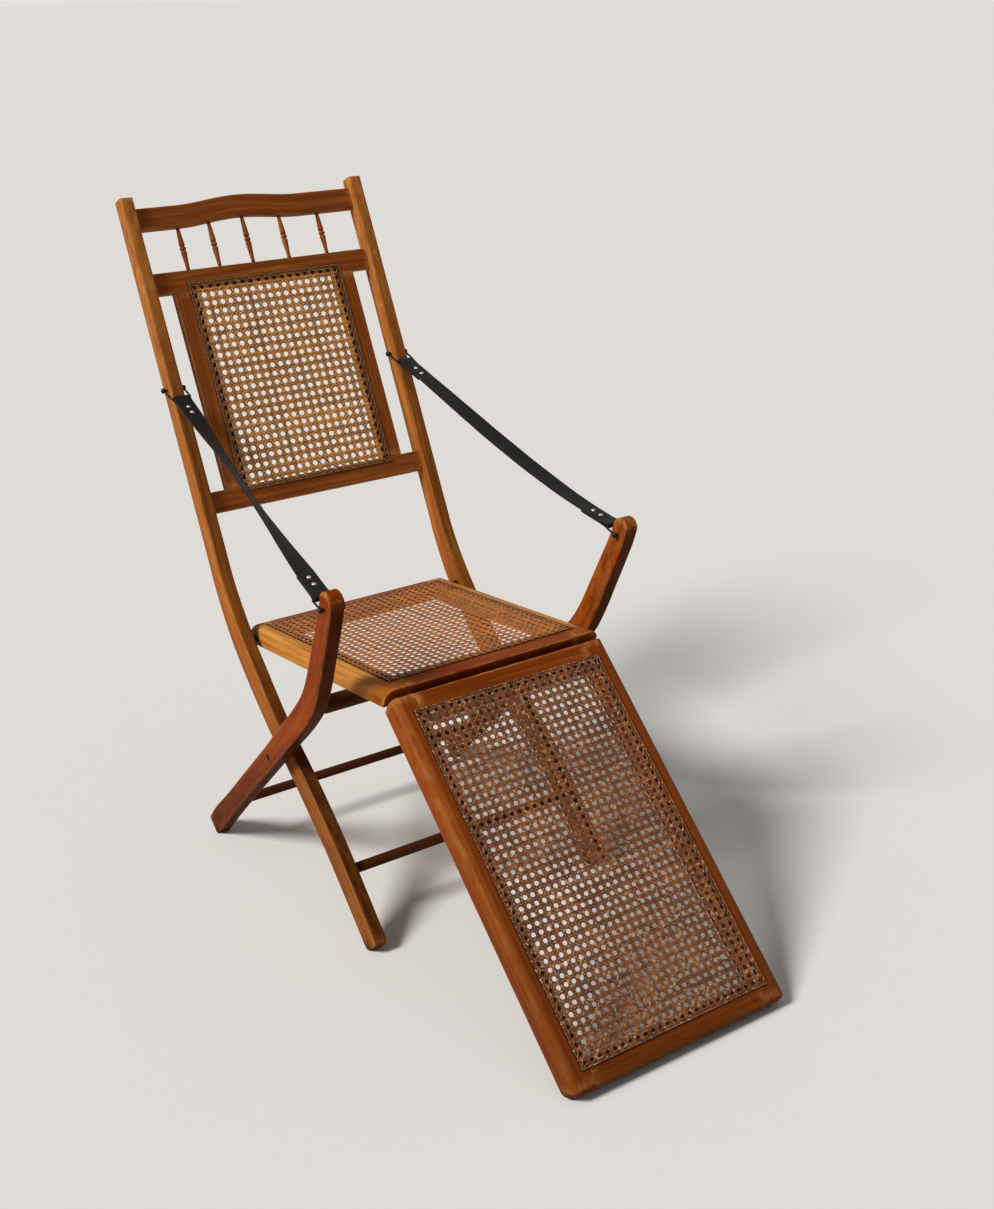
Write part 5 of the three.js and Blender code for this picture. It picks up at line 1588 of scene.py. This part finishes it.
class BuildLegRestFrame(bpy.types.Operator):
    """Makes the leg rest's side rails and cross rails"""

    bl_idname = "deck_chair.leg_rest_frame"
    bl_label = "Leg rest frame"

    def execute(self, context):
        for side, mirror, seed in (("right", 1, 40), ("left", -1, 41)):
            shape = (REST, REST_THICKNESS, (rest_low_end, rest_high_end))
            side_rail(f"rest_side_rail_{side}", *shape, "leg_rest", "russet beech", seed, mirror)
        bottom = -REST_THICKNESS
        inner = REST_LENGTH - REST_END_RAIL
        top = [(inner, bottom), (REST_LENGTH - REST_END_CUT, bottom), (REST_LENGTH, 0), (inner, 0)]
        radii = [INNER_ROUND, INNER_ROUND, REST_END_ROUND, INNER_ROUND]
        board("rest_top_rail", REST, top, radii, CROSS_RAIL_HALF, "leg_rest", "russet beech", 42)
        sole = (REST_THICKNESS - REST_FOOT_CUT) / math.tan(REST_SLOPE)
        foot = [(sole, bottom), (REST_END_RAIL, bottom), (REST_END_RAIL, 0), (0, 0), (0, -REST_FOOT_CUT)]
        radii = [REST_FOOT_NOSE, INNER_ROUND, INNER_ROUND, REST_LOWER_ROUND, REST_FOOT_NOSE]
        name, shape = "rest_bottom_rail", (REST, foot, radii, CROSS_RAIL_HALF)
        board(name, *shape, "leg_rest", "russet beech", 43, low=LOW_SHADE)
        return {"FINISHED"}


class BuildCaning(bpy.types.Operator):
    """Weaves the cane of the back, the seat and the leg rest"""

    bl_idname = "deck_chair.caning"
    bl_label = "Caning"

    def execute(self, context):
        cane = context.scene.deck_chair_cane
        inside = SEAT_HALF - SIDE_RAIL_WIDTH + INNER_ROUND
        opening = (PANEL_STILE[0] + RAIL_ARRIS, (LOWER_RAIL[1] - RAIL_ARRIS, MID_RAIL[0] + RAIL_ARRIS))
        shape = (BACK, "back_frame", BACK_CANE, opening, cane.back_pitch)
        cane_panel("back_cane", *shape, "golden cane", cane, 51, BACK_CANE_STAIN_AND_SHADE)
        opening = (inside, (SEAT_FRONT_RAIL - INNER_ROUND, SEAT_LENGTH - SEAT_BACK_RAIL + INNER_ROUND))
        shape = (SEAT, "seat", SEAT_CANE, opening, cane.seat_pitch)
        cane_panel("seat_cane", *shape, "tan cane", cane, 52, SEAT_CANE_STAIN_AND_SHADE)
        opening = (inside, (REST_END_RAIL - INNER_ROUND, REST_LENGTH - REST_END_RAIL + INNER_ROUND))
        shape = (REST, "leg_rest", REST_CANE, opening, cane.seat_pitch)
        cane_panel("rest_cane", *shape, "grey cane", cane, 53, REST_CANE_STAIN_AND_SHADE)
        return {"FINISHED"}


class BuildStraps(bpy.types.Operator):
    """Cuts the two straps, folds their ends round the bails and rivets them"""

    bl_idname = "deck_chair.straps"
    bl_label = "Straps and rivets"

    def execute(self, context):
        strap = context.scene.deck_chair_straps
        for seed, side in enumerate(("right", "left"), 60):
            strap_pieces(side, strap, seed)
            lie = StrapLie(side)
            stations = [*RIVET_PLACES, *(lie.span - place for place in reversed(RIVET_PLACES))]
            for index, station in enumerate(stations, 1):
                body = f"{'upper' if index < 3 else 'lower'}_bail_{side}"
                rivet_piece(f"rivet_{side}_{index}", lie, station, strap, body)
        return {"FINISHED"}


class BuildBails(bpy.types.Operator):
    """Bends the wire bails and turns the pins that they swing on"""

    bl_idname = "deck_chair.bails"
    bl_label = "Bails"

    def execute(self, context):
        for side in ("right", "left"):
            lie = StrapLie(side)
            ends = (
                ("stile", lie.stile_pin, STILE_BAIL_REACH, lie.pull, "upper", "back_frame"),
                ("arm", lie.arm_pin, ARM_BAIL_REACH, -lie.pull, "lower", "leg_frame"),
            )
            for end, pin, reach, towards, part, holder in ends:
                points, faces = tube(bail_path(pin, reach, towards), WIRE_RADIUS)
                points[..., 0] *= lie.mirror
                name, body = f"{end}_bail_{side}", f"{part}_bail_{side}"
                new_piece(f"{name}_wire", points, faces, body, finish("iron"), [name])
                rows = domed_pin(BAIL_PIN_RADIUS, BAIL_PIN_HEAD, BAIL_HALF + WIRE_RADIUS + GAP)
                place = across_place(pin[1:], lie.mirror * pin[0])
                name = f"{end}_bail_pin_{side}"
                turned_metal(f"{name}_metal", rows, place, holder, "iron", name)
        return {"FINISHED"}


class BuildPivots(bpy.types.Operator):
    """Turns the pivot pins, their washers and the seat's pivots"""

    bl_idname = "deck_chair.pivots"
    bl_label = "Pivots"

    def execute(self, context):
        for side, mirror in (("right", 1), ("left", -1)):
            place = across_place(PIVOT, mirror=mirror)
            head = STILE_INSIDE - GAP
            face = float(arm_middle_at(PIVOT[1])) + ARM_THICKNESS / 2
            rows = dome(PIVOT_HEAD, head, -1, 8) + [(PIVOT_NECK_RADIUS, head), (PIVOT_RADIUS, head)]
            rows += [(radius, face + out) for radius, out in PIVOT_END_ROWS]
            name = f"pivot_pin_{side}"
            turned_metal(f"{name}_metal", rows, place, "back_frame", "iron", name)
            name = f"pivot_washer_{side}"
            turned_metal(f"{name}_metal", washer_rows(), place, "back_frame", "iron", name)
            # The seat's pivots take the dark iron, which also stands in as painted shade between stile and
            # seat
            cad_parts[f"seat_pivot_{side}"].data.materials[0] = finish("iron")
        return {"FINISHED"}


class BuildHinges(bpy.types.Operator):
    """Finishes the hinges in tarnished brass"""

    bl_idname = "deck_chair.hinges"
    bl_label = "Hinges"

    def execute(self, context):
        for name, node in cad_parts.items():
            if name.startswith("hinge_"):
                node.data.materials[0] = finish("brass")
        return {"FINISHED"}


BUILDERS = (
    BuildStage,
    BuildStiles,
    BuildArmPosts,
    BuildRoundRails,
    BuildBackRails,
    BuildSeatFrame,
    BuildLegRestFrame,
    BuildCaning,
    BuildStraps,
    BuildBails,
    BuildPivots,
    BuildHinges,
)


class DeckChairPanel(bpy.types.Panel):
    """Lists what builds the chair"""

    bl_idname = "VIEW3D_PT_deck_chair"
    bl_label = "Deck chair"
    bl_space_type = "VIEW_3D"
    bl_region_type = "UI"
    bl_category = "Deck chair"

    def draw(self, context):
        for key in SETTINGS:
            settings = getattr(context.scene, key)
            box = self.layout.box()
            for name in settings.__annotations__:
                box.prop(settings, name)
        for builder in BUILDERS:
            self.layout.operator(builder.bl_idname)


SETTINGS = {
    "deck_chair_cane": ChairCane,
    "deck_chair_straps": ChairStraps,
    "deck_chair_colours": ChairColours,
    "deck_chair_stage": ChairStage,
}


def register():
    for cls in (*SETTINGS.values(), *BUILDERS, DeckChairPanel):
        bpy.utils.register_class(cls)
    for name, cls in SETTINGS.items():
        setattr(bpy.types.Scene, name, PointerProperty(type=cls))


def unregister():
    for name in SETTINGS:
        delattr(bpy.types.Scene, name)
    for cls in reversed((*SETTINGS.values(), *BUILDERS, DeckChairPanel)):
        bpy.utils.unregister_class(cls)


def main():
    register()
    for builder in BUILDERS:
        group, action = builder.bl_idname.split(".")
        getattr(getattr(bpy.ops, group), action)()


if __name__ == "__main__":
    main()
